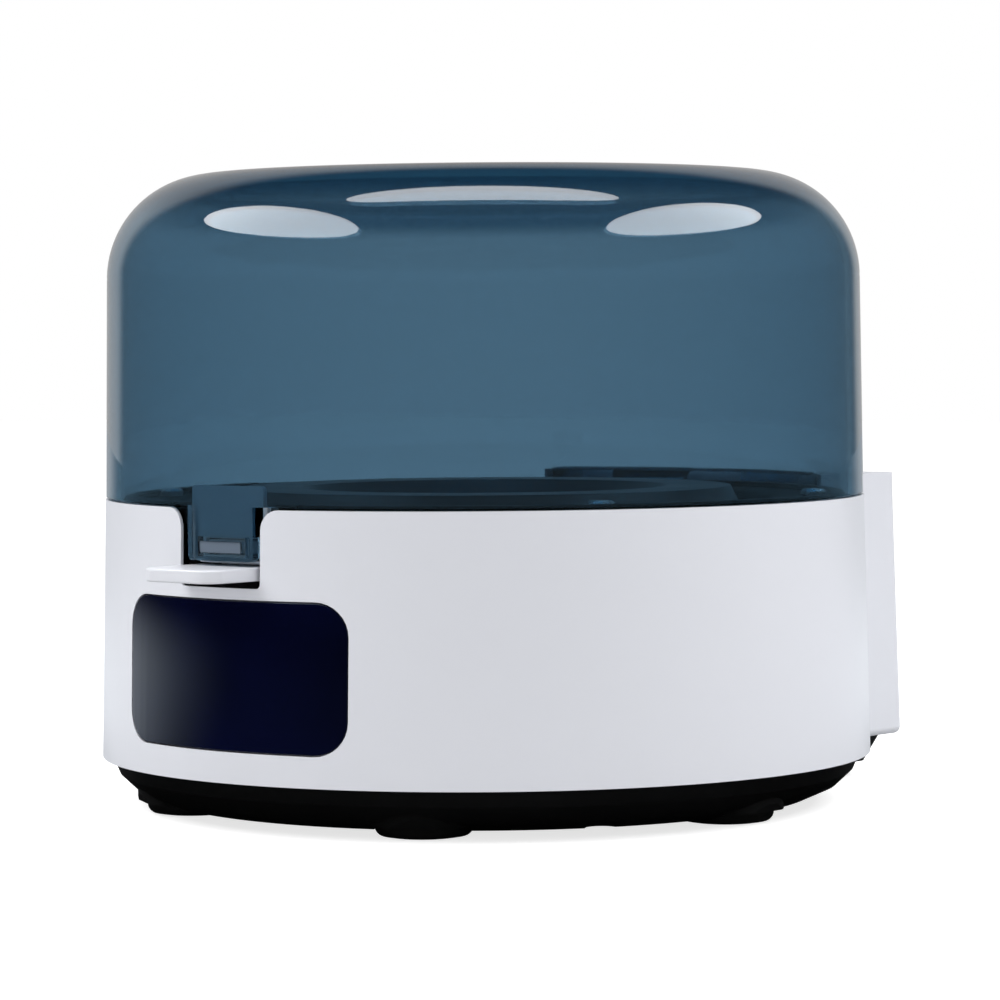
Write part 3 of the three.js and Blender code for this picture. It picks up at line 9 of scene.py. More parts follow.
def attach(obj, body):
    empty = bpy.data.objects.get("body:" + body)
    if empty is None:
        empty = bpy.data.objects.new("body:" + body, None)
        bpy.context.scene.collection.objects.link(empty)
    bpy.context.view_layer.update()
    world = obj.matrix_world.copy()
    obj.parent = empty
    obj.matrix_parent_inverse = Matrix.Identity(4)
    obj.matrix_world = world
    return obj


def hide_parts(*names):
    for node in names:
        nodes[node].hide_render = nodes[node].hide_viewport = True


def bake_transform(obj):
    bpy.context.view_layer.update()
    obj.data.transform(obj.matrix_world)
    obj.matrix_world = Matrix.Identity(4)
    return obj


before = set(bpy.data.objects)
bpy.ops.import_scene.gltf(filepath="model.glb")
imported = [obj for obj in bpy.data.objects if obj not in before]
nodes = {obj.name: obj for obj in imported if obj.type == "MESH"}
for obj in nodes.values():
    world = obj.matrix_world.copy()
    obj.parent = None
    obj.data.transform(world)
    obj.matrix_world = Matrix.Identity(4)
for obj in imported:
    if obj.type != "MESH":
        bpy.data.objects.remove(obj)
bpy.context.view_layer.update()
mm = 0.001
print("frame loaded:", len(nodes), "nodes")

# Camera

cameraSettings = {
    "place": (0.5602, -0.6396, 0.0982),  # metres
    "heading": 41.0,  # degrees round from the front, towards the right
    "downTilt": 2.343,
    "roll": 0.409,
    "lens": 144.47,
    "sensor": 36.0,
}


def makeCamera(settings):
    heading = math.radians(settings["heading"])
    tilt = math.radians(settings["downTilt"])
    roll = math.radians(settings["roll"])
    forward = Vector((
        -math.sin(heading) * math.cos(tilt),
        math.cos(heading) * math.cos(tilt),
        -math.sin(tilt),
    ))
    level = Vector((math.cos(heading), math.sin(heading), 0))
    upright = level.cross(forward)
    right = level * math.cos(roll) - upright * math.sin(roll)
    up = upright * math.cos(roll) + level * math.sin(roll)
    turn = Matrix((right, up, -forward)).transposed().to_4x4()
    data = bpy.data.cameras.new("studioCamera")
    data.lens = settings["lens"]
    data.sensor_width = settings["sensor"]
    data.clip_start = 0.05
    data.clip_end = 20
    camera = bpy.data.objects.new("studioCamera", data)
    bpy.context.scene.collection.objects.link(camera)
    camera.matrix_world = Matrix.Translation(settings["place"]) @ turn
    bpy.context.scene.camera = camera


makeCamera(cameraSettings)
bpy.context.scene.view_settings.view_transform = "Standard"

# Modelling steps used for every piece


def pickOnly(piece):
    if bpy.context.mode != "OBJECT":
        bpy.ops.object.mode_set(mode="OBJECT")
    bpy.ops.object.select_all(action="DESELECT")
    piece.select_set(True)
    bpy.context.view_layer.objects.active = piece


def editOnly(piece):
    pickOnly(piece)
    bpy.ops.object.mode_set(mode="EDIT")
    bpy.ops.mesh.select_all(action="DESELECT")


def selectFaces(piece, wanted):
    # wanted is asked about each face's middle and normal; starts and ends in edit mode
    bpy.ops.object.mode_set(mode="OBJECT")
    for vertex in piece.data.vertices:
        vertex.select = False
    for edge in piece.data.edges:
        edge.select = False
    for face in piece.data.polygons:
        face.select = wanted(face.center / mm, face.normal)
    bpy.ops.object.mode_set(mode="EDIT")


def selectPoints(piece, wanted):
    bpy.ops.object.mode_set(mode="OBJECT")
    for face in piece.data.polygons:
        face.select = False
    for edge in piece.data.edges:
        edge.select = False
    for vertex in piece.data.vertices:
        vertex.select = wanted(vertex.co / mm)
    bpy.ops.object.mode_set(mode="EDIT")
    bpy.ops.mesh.select_mode(type="VERT")


def arcPoints(centre, radius, start, end, steps):
    points = []
    for i in range(steps + 1):
        angle = math.radians(start + (end - start) * i / steps)
        points.append((centre[0] + radius * math.cos(angle), centre[1] + radius * math.sin(angle)))
    return points


def roundedBox(x0, x1, y0, y1, radius, steps=8):
    return (
        arcPoints((x1 - radius, y0 + radius), radius, -90, 0, steps)
        + arcPoints((x1 - radius, y1 - radius), radius, 0, 90, steps)
        + arcPoints((x0 + radius, y1 - radius), radius, 90, 180, steps)
        + arcPoints((x0 + radius, y0 + radius), radius, 180, 270, steps)
    )


def drawLine(name, points):
    # a plane drawn in to one point, then extruded from corner to corner; left in edit mode
    if bpy.context.mode != "OBJECT":
        bpy.ops.object.mode_set(mode="OBJECT")
    bpy.ops.object.select_all(action="DESELECT")
    bpy.ops.mesh.primitive_plane_add(size=mm, location=(0, 0, 0))
    piece = bpy.context.object
    piece.name = name
    bpy.ops.object.mode_set(mode="EDIT")
    bpy.ops.mesh.select_all(action="SELECT")
    bpy.ops.mesh.merge(type="CENTER")
    bpy.ops.transform.translate(value=Vector(points[0]) * mm)
    for before, after in zip(points, points[1:]):
        step = (Vector(after) - Vector(before)) * mm
        bpy.ops.mesh.extrude_region_move(TRANSFORM_OT_translate={"value": step})
    return piece


def turned(name, section, steps=192):
    # spins a section of [radius, height] points about Z; it is closed unless both ends are on the axis
    points = [(r, 0, z) for r, z in section]
    if section[0][0] > 0 or section[-1][0] > 0:
        points.append(points[0])
    piece = drawLine(name, points)
    bpy.ops.mesh.select_all(action="SELECT")
    bpy.ops.mesh.spin(steps=steps, angle=2 * math.pi, center=(0, 0, 0), axis=(0, 0, 1))
    bpy.ops.mesh.select_all(action="SELECT")
    bpy.ops.mesh.remove_doubles(threshold=0.002 * mm)
    bpy.ops.mesh.normals_make_consistent(inside=False)
    bpy.ops.object.mode_set(mode="OBJECT")
    return piece


def prism(name, outline, plane, start, end):
    # an outline in the plane XY, XZ or YZ, carried from start to end along the third axis
    place = {
        "XY": lambda a, b: (a, b, start),
        "XZ": lambda a, b: (a, start, b),
        "YZ": lambda a, b: (start, a, b),
    }[plane]
    push = {"XY": (0, 0, 1), "XZ": (0, 1, 0), "YZ": (1, 0, 0)}[plane]
    points = [place(a, b) for a, b in outline]
    piece = drawLine(name, points + points[:1])
    bpy.ops.mesh.select_all(action="SELECT")
    bpy.ops.mesh.remove_doubles(threshold=0.002 * mm)
    bpy.ops.mesh.edge_face_add()
    bpy.ops.mesh.extrude_region_move(TRANSFORM_OT_translate={"value": Vector(push) * (end - start) * mm})
    bpy.ops.mesh.select_all(action="SELECT")
    bpy.ops.mesh.normals_make_consistent(inside=False)
    bpy.ops.object.mode_set(mode="OBJECT")
    return piece


def block(name, xs, ys, zs):
    outline = [(xs[0], ys[0]), (xs[1], ys[0]), (xs[1], ys[1]), (xs[0], ys[1])]
    return prism(name, outline, "XY", zs[0], zs[1])


def rod(name, centre, radius, plane, start, end, steps=48):
    return prism(name, arcPoints(centre, radius, 0, 360, steps)[:-1], plane, start, end)


def combine(piece, tools, operation):
    for tool in tools:
        pickOnly(piece)
        step = piece.modifiers.new("step", "BOOLEAN")
        step.object = tool
        step.operation = operation
        step.solver = "EXACT"
        bpy.ops.object.modifier_apply(modifier=step.name)
        bpy.data.objects.remove(tool)
    return piece


def join(piece, *tools):
    return combine(piece, tools, "UNION")


def cut(piece, *tools):
    return combine(piece, tools, "DIFFERENCE")


def keep(piece, *tools):
    return combine(piece, tools, "INTERSECT")


def roundEdges(piece, width, segments=3, angle=30):
    # rounds every edge sharper than the angle, as a mould does, then smooths the shading
    editOnly(piece)
    bpy.ops.mesh.select_all(action="SELECT")
    bpy.ops.mesh.remove_doubles(threshold=0.01 * mm)
    bpy.ops.mesh.dissolve_degenerate(threshold=0.01 * mm)
    bpy.ops.object.mode_set(mode="OBJECT")
    step = piece.modifiers.new("edges", "BEVEL")
    step.width = width * mm
    step.segments = segments
    step.limit_method = "ANGLE"
    step.angle_limit = math.radians(angle)
    step.miter_outer = "MITER_ARC"
    bpy.ops.object.modifier_apply(modifier=step.name)
    smooth(piece)


def smooth(piece, angle=38):
    pickOnly(piece)
    bpy.ops.object.shade_smooth_by_angle(angle=math.radians(angle))
    step = piece.modifiers.new("shading", "WEIGHTED_NORMAL")
    step.keep_sharp = True
    bpy.ops.object.modifier_apply(modifier=step.name)


def copyTurned(piece, name, degrees):
    # a copy with its own mesh, turned about the vertical axis
    copied = piece.copy()
    copied.data = piece.data.copy()
    copied.name = name
    bpy.context.scene.collection.objects.link(copied)
    copied.data.transform(Matrix.Rotation(math.radians(degrees), 4, "Z"))
    return copied


def onCircle(radius, fromFront):
    angle = math.radians(fromFront)
    return radius * math.sin(angle), -radius * math.cos(angle)


# Materials


def linear(hexColour):
    channels = [int(hexColour[i:i + 2], 16) / 255 for i in (0, 2, 4)]
    return (*[c / 12.92 if c <= 0.04045 else ((c + 0.055) / 1.055) ** 2.4 for c in channels], 1.0)


def addNode(tree, kind, settings=None, links=None):
    # settings go on the node, or on a socket when the name is one; links are socket: (node, output)
    node = tree.nodes.new(kind)
    for key, value in (settings or {}).items():
        if key in node.inputs:
            node.inputs[key].default_value = value
        else:
            setattr(node, key, value)
    for key, (source, output) in (links or {}).items():
        tree.links.new(source.outputs[output], node.inputs[key])
    return node


def surfaceTree(name):
    material = bpy.data.materials.new(name)
    material.use_nodes = True
    tree = material.node_tree
    tree.nodes.clear()
    output = addNode(tree, "ShaderNodeOutputMaterial")
    place = addNode(tree, "ShaderNodeTexCoord")
    return material, tree, output, place


def mouldedPlastic(name, look):
    # a base colour that drifts a little, uneven gloss and a fine grain from the mould
    material, tree, output, place = surfaceTree(name)
    drift = addNode(tree, "ShaderNodeTexNoise", {"Scale": 1000 / look["driftSize"], "Detail": 2.0},
                    {"Vector": (place, "Object")})
    colour = addNode(tree, "ShaderNodeMix", {"data_type": "RGBA"}, {"Factor": (drift, "Fac")})
    colour.inputs[6].default_value = linear(look["colour"])
    colour.inputs[7].default_value = linear(look["shade"])
    gloss = addNode(tree, "ShaderNodeMapRange", {
        "From Min": 0.1, "From Max": 0.9, "To Min": look["roughness"][0], "To Max": look["roughness"][1],
    }, {"Value": (drift, "Fac")})
    grain = addNode(tree, "ShaderNodeTexNoise", {"Scale": 1000 / look["grainSize"], "Detail": 3.0},
                    {"Vector": (place, "Object")})
    relief = addNode(tree, "ShaderNodeBump", {"Strength": look["relief"], "Distance": look["depth"] * mm},
                     {"Height": (grain, "Fac")})
    shader = addNode(tree, "ShaderNodeBsdfPrincipled", {
        "IOR": look.get("ior", 1.5), "Metallic": look.get("metallic", 0.0),
    }, {"Base Color": (colour, 2), "Roughness": (gloss, "Result"), "Normal": (relief, "Normal")})
    tree.links.new(shader.outputs["BSDF"], output.inputs["Surface"])
    return material


# ABS, injection moulded in a polished tool: bright cool white with a soft sheen
whiteAbs = mouldedPlastic("injectionMouldedWhiteAbs", {
    "colour": "E3E5EC", "shade": "E1E3EA", "driftSize": 60, "roughness": (0.285, 0.33),
    "grainSize": 2.2, "relief": 0.05, "depth": 0.02, "ior": 1.54,
})
# ABS, moulded in a spark-eroded tool: satin black that hides fingerprints
blackAbs = mouldedPlastic("texturedBlackAbs", {
    "colour": "08090B", "shade": "0C0D10", "driftSize": 18, "roughness": (0.62, 0.72),
    "grainSize": 0.7, "relief": 0.25, "depth": 0.03, "ior": 1.42,
})
# natural rubber, compression moulded: dull and slightly dusty black
footRubber = mouldedPlastic("compressionMouldedRubber", {
    "colour": "0B0C0D", "shade": "131415", "driftSize": 6, "roughness": (0.72, 0.86),
    "grainSize": 0.6, "relief": 0.4, "depth": 0.04, "ior": 1.52,
})
# silicone rubber, extruded for the seal: black with a waxy edge light
sealSilicone = mouldedPlastic("extrudedBlackSilicone", {
    "colour": "0A0B0D", "shade": "111215", "driftSize": 9, "roughness": (0.5, 0.6),
    "grainSize": 0.8, "relief": 0.15, "depth": 0.02, "ior": 1.41,
})
# polypropylene, injection moulded: satin, a little waxy
rotorPolypropylene = mouldedPlastic("satinPolypropylene", {
    "colour": "23262B", "shade": "2B2E34", "driftSize": 14, "roughness": (0.34, 0.44),
    "grainSize": 0.9, "relief": 0.2, "depth": 0.02, "ior": 1.49,
})
# steel, bright drawn: the fasteners, pins and shaft
drawnSteel = mouldedPlastic("brightDrawnSteel", {
    "colour": "B9BBBD", "shade": "A9ABAE", "driftSize": 3, "roughness": (0.22, 0.34),
    "grainSize": 0.5, "relief": 0.2, "depth": 0.01, "metallic": 1.0,
})
# steel sheet, zinc plated: cooler and more mottled
zincSteel = mouldedPlastic("zincPlatedSteel", {
    "colour": "A4A8AC", "shade": "8F9499", "driftSize": 5, "roughness": (0.3, 0.48),
    "grainSize": 1.2, "relief": 0.2, "depth": 0.01, "metallic": 1.0,
})
# glass-filled epoxy board under green solder mask
solderMask = mouldedPlastic("greenSolderMask", {
    "colour": "1F5A3A", "shade": "184A2F", "driftSize": 4, "roughness": (0.35, 0.5),
    "grainSize": 0.5, "relief": 0.2, "depth": 0.02, "ior": 1.52,
})
# PVC sleeves on the leads
redSleeve = mouldedPlastic("redPvcSleeve", {
    "colour": "A3242A", "shade": "8E1F25", "driftSize": 5, "roughness": (0.4, 0.52),
    "grainSize": 0.8, "relief": 0.1, "depth": 0.01, "ior": 1.53,
})
greySleeve = mouldedPlastic("greyPvcRibbon", {
    "colour": "C4C7CB", "shade": "B4B7BC", "driftSize": 5, "roughness": (0.45, 0.55),
    "grainSize": 1.0, "relief": 0.1, "depth": 0.01, "ior": 1.53,
})


def smokePolycarbonate(name, look):
    # polycarbonate, injection moulded and polished, dyed smoke blue: thick places and edges read darker; the base
    # colour also turns darker towards the top, a painted dark reflection on the crown
    material, tree, output, place = surfaceTree(name)
    height = addNode(tree, "ShaderNodeSeparateXYZ", None, {"Vector": (place, "Object")})
    # painted dark reflection: the colour blends to the darker crown colour between these two heights
    crown = addNode(tree, "ShaderNodeMapRange", {
        "interpolation_type": "SMOOTHSTEP", "From Min": look["paintedReflectionFrom"] * mm, "From Max": look["paintedReflectionTo"] * mm,
    }, {"Value": (height, "Z")})
    colour = addNode(tree, "ShaderNodeMix", {"data_type": "RGBA"}, {"Factor": (crown, "Result")})
    colour.inputs[6].default_value = linear(look["colour"])
    colour.inputs[7].default_value = linear(look["crown"])
    ripple = addNode(tree, "ShaderNodeTexNoise", {"Scale": 1000 / look["rippleSize"], "Detail": 1.0},
                     {"Vector": (place, "Object")})
    relief = addNode(tree, "ShaderNodeBump", {"Strength": look["relief"], "Distance": look["depth"] * mm},
                     {"Height": (ripple, "Fac")})
    shader = addNode(tree, "ShaderNodeBsdfPrincipled", {
        "IOR": look["ior"], "Roughness": look["roughness"], "Transmission Weight": 1.0,
    }, {"Base Color": (colour, 2), "Normal": (relief, "Normal")})
    dye = addNode(tree, "ShaderNodeVolumeAbsorption", {"Color": (*look["dye"], 1.0), "Density": look["density"]})
    tree.links.new(shader.outputs["BSDF"], output.inputs["Surface"])
    tree.links.new(dye.outputs["Volume"], output.inputs["Volume"])
    return material


smokeClear = smokePolycarbonate("polishedSmokePolycarbonate", {
    # the crown colour and the two heights after it paint a dark reflection on the top of the lid
    "colour": "B2C7D3", "crown": "3D6E88", "paintedReflectionFrom": 122.0, "paintedReflectionTo": 129.0, "rippleSize": 22,
    "relief": 0.03, "depth": 0.05, "ior": 1.585, "roughness": 0.02,
    "dye": (0.336, 0.504, 0.596), "density": 300.0,  # linear; 3 mm lets through 55, 64 and 70 per cent
})
# polypropylene pad let into the tongue where the latch holds it
padPolypropylene = mouldedPlastic("greyBluePolypropylene", {
    "colour": "6C7988", "shade": "647282", "driftSize": 3, "roughness": (0.3, 0.4),
    "grainSize": 0.5, "relief": 0.1, "depth": 0.01, "ior": 1.49,
})


def printedWindow(name, look):
    # clear acrylic, printed black on the back: a hard gloss over a deep navy black
    material, tree, output, place = surfaceTree(name)
    drift = addNode(tree, "ShaderNodeTexNoise", {"Scale": 1000 / look["driftSize"], "Detail": 1.0},
                    {"Vector": (place, "Object")})
    colour = addNode(tree, "ShaderNodeMix", {"data_type": "RGBA"}, {"Factor": (drift, "Fac")})
    colour.inputs[6].default_value = linear(look["colour"])
    colour.inputs[7].default_value = linear(look["shade"])
    shader = addNode(tree, "ShaderNodeBsdfPrincipled", {
        "IOR": look["ior"], "Roughness": look["roughness"], "Specular Tint": (0.68, 0.84, 1.0, 1.0),
    }, {"Base Color": (colour, 2)})
    tree.links.new(shader.outputs["BSDF"], output.inputs["Surface"])
    return material


windowAcrylic = printedWindow("backPrintedAcrylic", {
    "colour": "03040C", "shade": "060A2A", "driftSize": 24, "ior": 1.49, "roughness": 0.05,
})


def dress(piece, material, body, stoodFor):
    piece.data.materials.clear()
    piece.data.materials.append(material)
    piece.data.update()
    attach(piece, body)
    if stoodFor:
        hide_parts(*stoodFor)
    print("made", piece.name, len(piece.data.polygons), "faces")


# Housing

housingSize = {
    "parting": 64.5, "topRadius": 80.0, "footRadius": 81.2, "foot": 10.5, "wall": 3.0,
    "blockHalf": 42.0, "blockFront": 69.6, "blockRear": 90.4, "blockCorner": 1.8, "draft": 1.2, "footRound": 1.7,
    "blockDrop": 1.3, "panGap": 0.4, "topRound": 1.8,
    "cheek": 2.0, "cheekGap": 0.8, "notchSkin": 0.7, "notchRelief": 3.0,
    "blockTop": 67.4, "pinY": 86.6, "pinZ": 63.9, "ridgeRadius": 3.6, "hingeFloor": 57.9,
    "knuckle": (9.0, 30.0), "knuckleRadius": 3.2, "gap": 0.3, "pinRadius": 1.5,
    "notchHalf": 11.0, "notchLow": 49.0, "notchTopCorner": 4.0, "notchLowCorner": 1.0,
    "recessHalf": 34.0, "recessRise": 13.0, "recessCorner": 2.5, "recessFace": 88.4, "fittingZ": 37.5,
    "switchX": 17.0, "switchHole": (9.6, 6.6), "inletHole": (7.3, 5.8), "edge": 0.45,
}
windowSize = {"half": 29.8, "low": 17.0, "top": 46.5, "corner": 6.5, "thick": 1.8, "gap": 0.3, "edge": 0.35}


def housingRadius(z, size=housingSize):
    share = (size["parting"] - z) / (size["parting"] - size["foot"])
    return size["topRadius"] + share * (size["footRadius"] - size["topRadius"])


def wallSkin(name, inward, outward, low, top, steps=192):
    return turned(name, [
        (housingRadius(low) - inward, low), (housingRadius(low) + outward, low),
        (housingRadius(top) + outward, top), (housingRadius(top) - inward, top),
    ], steps)


def notchOutline(size, grow):
    half, corner, top = size["notchHalf"] + grow, size["notchTopCorner"], size["parting"]
    low, soft = size["notchLow"] - grow / 2, size["notchLowCorner"]
    return (
        [(-half - corner, top + 8)]
        + arcPoints((-half - corner, top - corner), corner, 90, 0, 8)
        + arcPoints((soft - half, low + soft), soft, 180, 270, 4)
        + arcPoints((half - soft, low + soft), soft, 270, 360, 4)
        + arcPoints((half + corner, top - corner), corner, 180, 90, 8)
        + [(half + corner, top + 8)]
    )


def makeHousing(size, window):
    shell = wallSkin("whiteHousing", size["wall"], 0, size["foot"], size["parting"])
    half, rear, corner = size["blockHalf"], size["blockRear"], size["blockCorner"]
    outline = (
        [(-half, size["blockFront"]), (half, size["blockFront"])]
        + arcPoints((half - corner, rear - corner), corner, 0, 90, 6)
        + arcPoints((corner - half, rear - corner), corner, 90, 180, 6)
    )
    hinge = prism("hingeBlock", outline, "XY", size["foot"] - size["blockDrop"], size["parting"])
    editOnly(hinge)
    selectPoints(hinge, lambda p: p.z < size["foot"] + 1)
    bpy.ops.transform.resize(value=(1 + size["draft"] / half, 1, 1), center_override=(0, 0, 0))
    selectPoints(hinge, lambda p: p.z < size["foot"] + 1 and p.y > size["blockFront"] + 5)
    bpy.ops.transform.translate(value=(0, size["draft"] * mm, 0))
    selectPoints(hinge, lambda p: p.z < size["foot"] + 1)
    bpy.ops.mesh.bevel(offset=size["footRound"] * mm, segments=5, affect="EDGES")
    bpy.ops.object.mode_set(mode="OBJECT")
    inside = turned("inside", [
        (0, 0), (housingRadius(0) - size["wall"], 0),
        (housingRadius(75) - size["wall"], 75), (0, 75),
    ])
    hollow = block("hollow", (size["wall"] - half, half - size["wall"]),
                   (size["blockFront"] - 5, rear - size["wall"]), (0, size["hingeFloor"]))
    panRoom = turned("panRoom", [(0, 0), (79 + size["panGap"], 0), (79 + size["panGap"], size["foot"]),
                                 (0, size["foot"])])
    hinge = cut(hinge, inside, hollow, panRoom)
    ridgeOutline = (
        [(size["pinY"] - size["ridgeRadius"], size["pinZ"] - 2.4)]
        + arcPoints((size["pinY"], size["pinZ"]), size["ridgeRadius"], 180, 104, 10)
        + [(size["pinY"], size["blockTop"])]
        + arcPoints((rear - size["topRound"], size["blockTop"] - size["topRound"]), size["topRound"], 90, 0, 6)
        + [(rear, size["pinZ"] - 2.4)]
    )
    ridge = keep(prism("ridge", ridgeOutline, "YZ", -half, half), prism("ridgePlan", outline, "XY", 0, 80))
    lidRoom = turned("lidRoom", [(0, 60), (size["topRadius"] + size["cheekGap"], 60),
                                 (size["topRadius"] + size["cheekGap"], 75), (0, 75)])
    cheeks = cut(
        block("cheeks", (-half, half), (size["blockFront"], size["pinY"]), (size["parting"] - 0.5, size["blockTop"])),
        lidRoom, block("flangeRoom", (size["cheek"] - half, half - size["cheek"]), (0, rear), (60, 75)),
    )
    backing = block("backing", (-size["recessHalf"] - 3, size["recessHalf"] + 3),
                    (size["recessFace"] - 3, rear - 1.5),
                    (size["fittingZ"] - size["recessRise"] - 3, size["fittingZ"] + size["recessRise"] + 3))
    shell = join(shell, hinge, ridge, cheeks, backing)

    notch = prism("notch", notchOutline(size, 0), "XZ", -90, -60)
    relief = keep(  # the wall is thinned from inside round the notch
        prism("relief", notchOutline(size, size["notchRelief"]), "XZ", -90, -60),
        wallSkin("reliefSkin", size["wall"] + 5, -size["notchSkin"], size["notchLow"] - 5, size["parting"] + 5),
    )
    reach = window["gap"]
    recess = keep(
        prism("recess", roundedBox(-window["half"] - reach, window["half"] + reach, window["low"] - reach,
                                   window["top"] + reach, window["corner"] + reach), "XZ", -90, -50),
        wallSkin("recessSkin", window["thick"] + reach, 5, window["low"] - 3, window["top"] + 3),
    )
    shell = cut(shell, notch, relief, recess)
    for side in (-1, 1):
        ends = sorted((side * (size["knuckle"][0] - size["gap"]), side * (size["knuckle"][1] + size["gap"])))
        front = size["pinY"] - size["knuckleRadius"] - size["gap"]
        shell = cut(shell, block("slot", ends, (front, 100), (size["pinZ"] - size["knuckleRadius"] - size["gap"], 75)))
    pinHole = rod("pinHole", (size["pinY"], size["pinZ"]), size["pinRadius"] + size["gap"], "YZ", -60, 38.3)
    rearRecess = prism("rearRecess", roundedBox(
        -size["recessHalf"], size["recessHalf"], size["fittingZ"] - size["recessRise"],
        size["fittingZ"] + size["recessRise"], size["recessCorner"]), "XZ", size["recessFace"], 96)
    holes = []
    for x, (halfWidth, halfHeight) in ((size["switchX"], size["switchHole"]), (-size["switchX"], size["inletHole"])):
        holes.append(block("hole", (x - halfWidth, x + halfWidth), (80, 95),
                           (size["fittingZ"] - halfHeight, size["fittingZ"] + halfHeight)))
    shell = cut(shell, pinHole, rearRecess, *holes)
    roundEdges(shell, size["edge"])
    return shell


whiteHousing = makeHousing(housingSize, windowSize)
dress(whiteHousing, whiteAbs, "base", ["housing"])

# Display window


def makeWindow(size):
    pane = keep(
        prism("displayWindow", roundedBox(-size["half"], size["half"], size["low"], size["top"], size["corner"], 12),
              "XZ", -90, -50),
        wallSkin("windowSkin", size["thick"], 0, size["low"] - 3, size["top"] + 3),
    )
    roundEdges(pane, size["edge"])
    return pane


displayWindow = makeWindow(windowSize)
dress(displayWindow, windowAcrylic, "base", ["display_lens"])

# Lid

lidSize = {
    "rim": 65.0, "rimRadius": 79.9, "shoulder": 110.4, "shoulderRadius": 79.3, "fillet": 22.0, "crown": 0.5,
    "wall": 3.0, "roof": 2.8, "crease": 0.05, "tongueHalf": 9.0, "tongueLow": 54.2, "tongueCorner": 1.2,
    "pocketHalf": 6.5, "pocket": (54.95, 58.95), "pocketDeep": 1.8,
    "flangeHalf": 39.4, "flangeRear": 82.4, "flangeLow": 65.1, "flangeTop": 67.2, "flangeFillet": 0.8,
    "edge": 0.4, "padHalf": 5.8, "pad": (55.75, 58.05), "padDeep": (0.3, 0.8),
}


def padShape(name, size, grow, outer):
    half, (low, top) = size["padHalf"] + grow, size["pad"]
    inner = size["rimRadius"] - size["padDeep"][1] - grow
    return keep(
        prism(name, roundedBox(-half, half, low - grow, top + grow, 0.3 + grow, 4), "XZ", -90, -50),
        turned("padSkin", [(inner, low - 5), (outer, low - 5), (outer, top + 5), (inner, top + 5)]),
    )


def makeLid(size, hinge):
    shoulder, fillet = size["shoulder"], size["fillet"]
    outerCentre = (size["shoulderRadius"] - fillet, shoulder)
    innerCentre = (size["shoulderRadius"] - fillet, shoulder + size["wall"] - size["roof"])
    top = shoulder + fillet
    section = (
        [(0, top - size["roof"] + size["crown"])]
        + arcPoints(innerCentre, fillet - size["wall"], 90, 0, 20)
        + [(size["rimRadius"] - size["wall"], size["rim"]), (size["rimRadius"], size["rim"]),
           (size["shoulderRadius"], shoulder - 0.1), (size["shoulderRadius"] - size["crease"], shoulder + 0.1)]
        + arcPoints(outerCentre, fillet, 2, 90, 24)
        + [(0, top + size["crown"])]
    )
    lid = turned("smokeLid", section)
    skinLow, skinTop = size["tongueLow"], size["rim"] + 1.5
    tongueOutline = (
        arcPoints((size["tongueHalf"] - size["tongueCorner"], skinLow + size["tongueCorner"]),
                  size["tongueCorner"], -90, 0, 6)
        + [(size["tongueHalf"], skinTop), (-size["tongueHalf"], skinTop)]
        + arcPoints((size["tongueCorner"] - size["tongueHalf"], skinLow + size["tongueCorner"]),
                    size["tongueCorner"], 180, 270, 6)
    )
    inner = size["rimRadius"] - size["wall"]
    tongue = keep(
        prism("tongue", tongueOutline, "XZ", -90, -50),
        turned("tongueSkin", [(inner, skinLow - 2), (size["rimRadius"], skinLow - 2),
                              (size["rimRadius"] - 0.02, skinTop + 2), (inner, skinTop + 2)]),
    )
    pocket = block("pocket", (-size["pocketHalf"], size["pocketHalf"]),
                   (-inner - size["pocketDeep"] + 0.3, -inner + 3), size["pocket"])
    middle = size["rimRadius"] - size["wall"] / 2
    plug = turned("plug", [(0, 40), (middle, 40), (middle, 100), (0, 100)])
    flange = cut(block("flange", (-size["flangeHalf"], size["flangeHalf"]), (60, size["flangeRear"]),
                       (size["flangeLow"], size["flangeTop"])), plug)
    radius, rise = size["rimRadius"], size["flangeTop"]
    filletRing = turned("filletRing", (
        [(middle, rise - 0.4), (radius + size["flangeFillet"], rise - 0.4)]
        + arcPoints((radius + size["flangeFillet"], rise + size["flangeFillet"]), size["flangeFillet"], 270, 180, 6)
        + [(middle, rise + size["flangeFillet"])]
    ))
    filletRing = keep(filletRing, block("span", (-size["flangeHalf"], size["flangeHalf"]),
                                        (0, size["flangeRear"]), (50, 90)))
    parts = [tongue, flange, filletRing]
    holes = [pocket]
    for side in (-1, 1):
        ends = sorted((side * hinge["knuckle"][0], side * hinge["knuckle"][1]))
        parts.append(rod("knuckle", (hinge["pinY"], hinge["pinZ"]), hinge["knuckleRadius"], "YZ", *ends))
        parts.append(block("web", ends, (size["flangeRear"] - 1, hinge["pinY"]),
                           (size["flangeLow"], hinge["pinZ"] + hinge["knuckleRadius"])))
    holes.append(rod("pinHole", (hinge["pinY"], hinge["pinZ"]), hinge["pinRadius"] + hinge["gap"], "YZ", -60, 60))
    lid = cut(join(lid, *parts), *holes, padShape("padSeat", size, 0.06, size["rimRadius"] + 1))
    roundEdges(lid, size["edge"], angle=32)
    return lid


def makePad(size):
    pad = padShape("tonguePad", size, 0, size["rimRadius"] - size["padDeep"][0])
    roundEdges(pad, 0.12)
    return pad


smokeLid = makeLid(lidSize, housingSize)
dress(smokeLid, smokeClear, "lid", ["lid"])
tonguePad = makePad(lidSize)
dress(tonguePad, padPolypropylene, "lid", [])

# Latch button

latchSize = {
    "half": 10.0, "front": 92.45, "rear": 71.8, "low": 50.5, "top": 53.2, "corner": 4.0,
    "postHalf": 5.9, "postFront": 73.1, "noseFront": 76.0, "noseLow": 55.6, "noseTop": 58.3, "edge": 0.5,
}


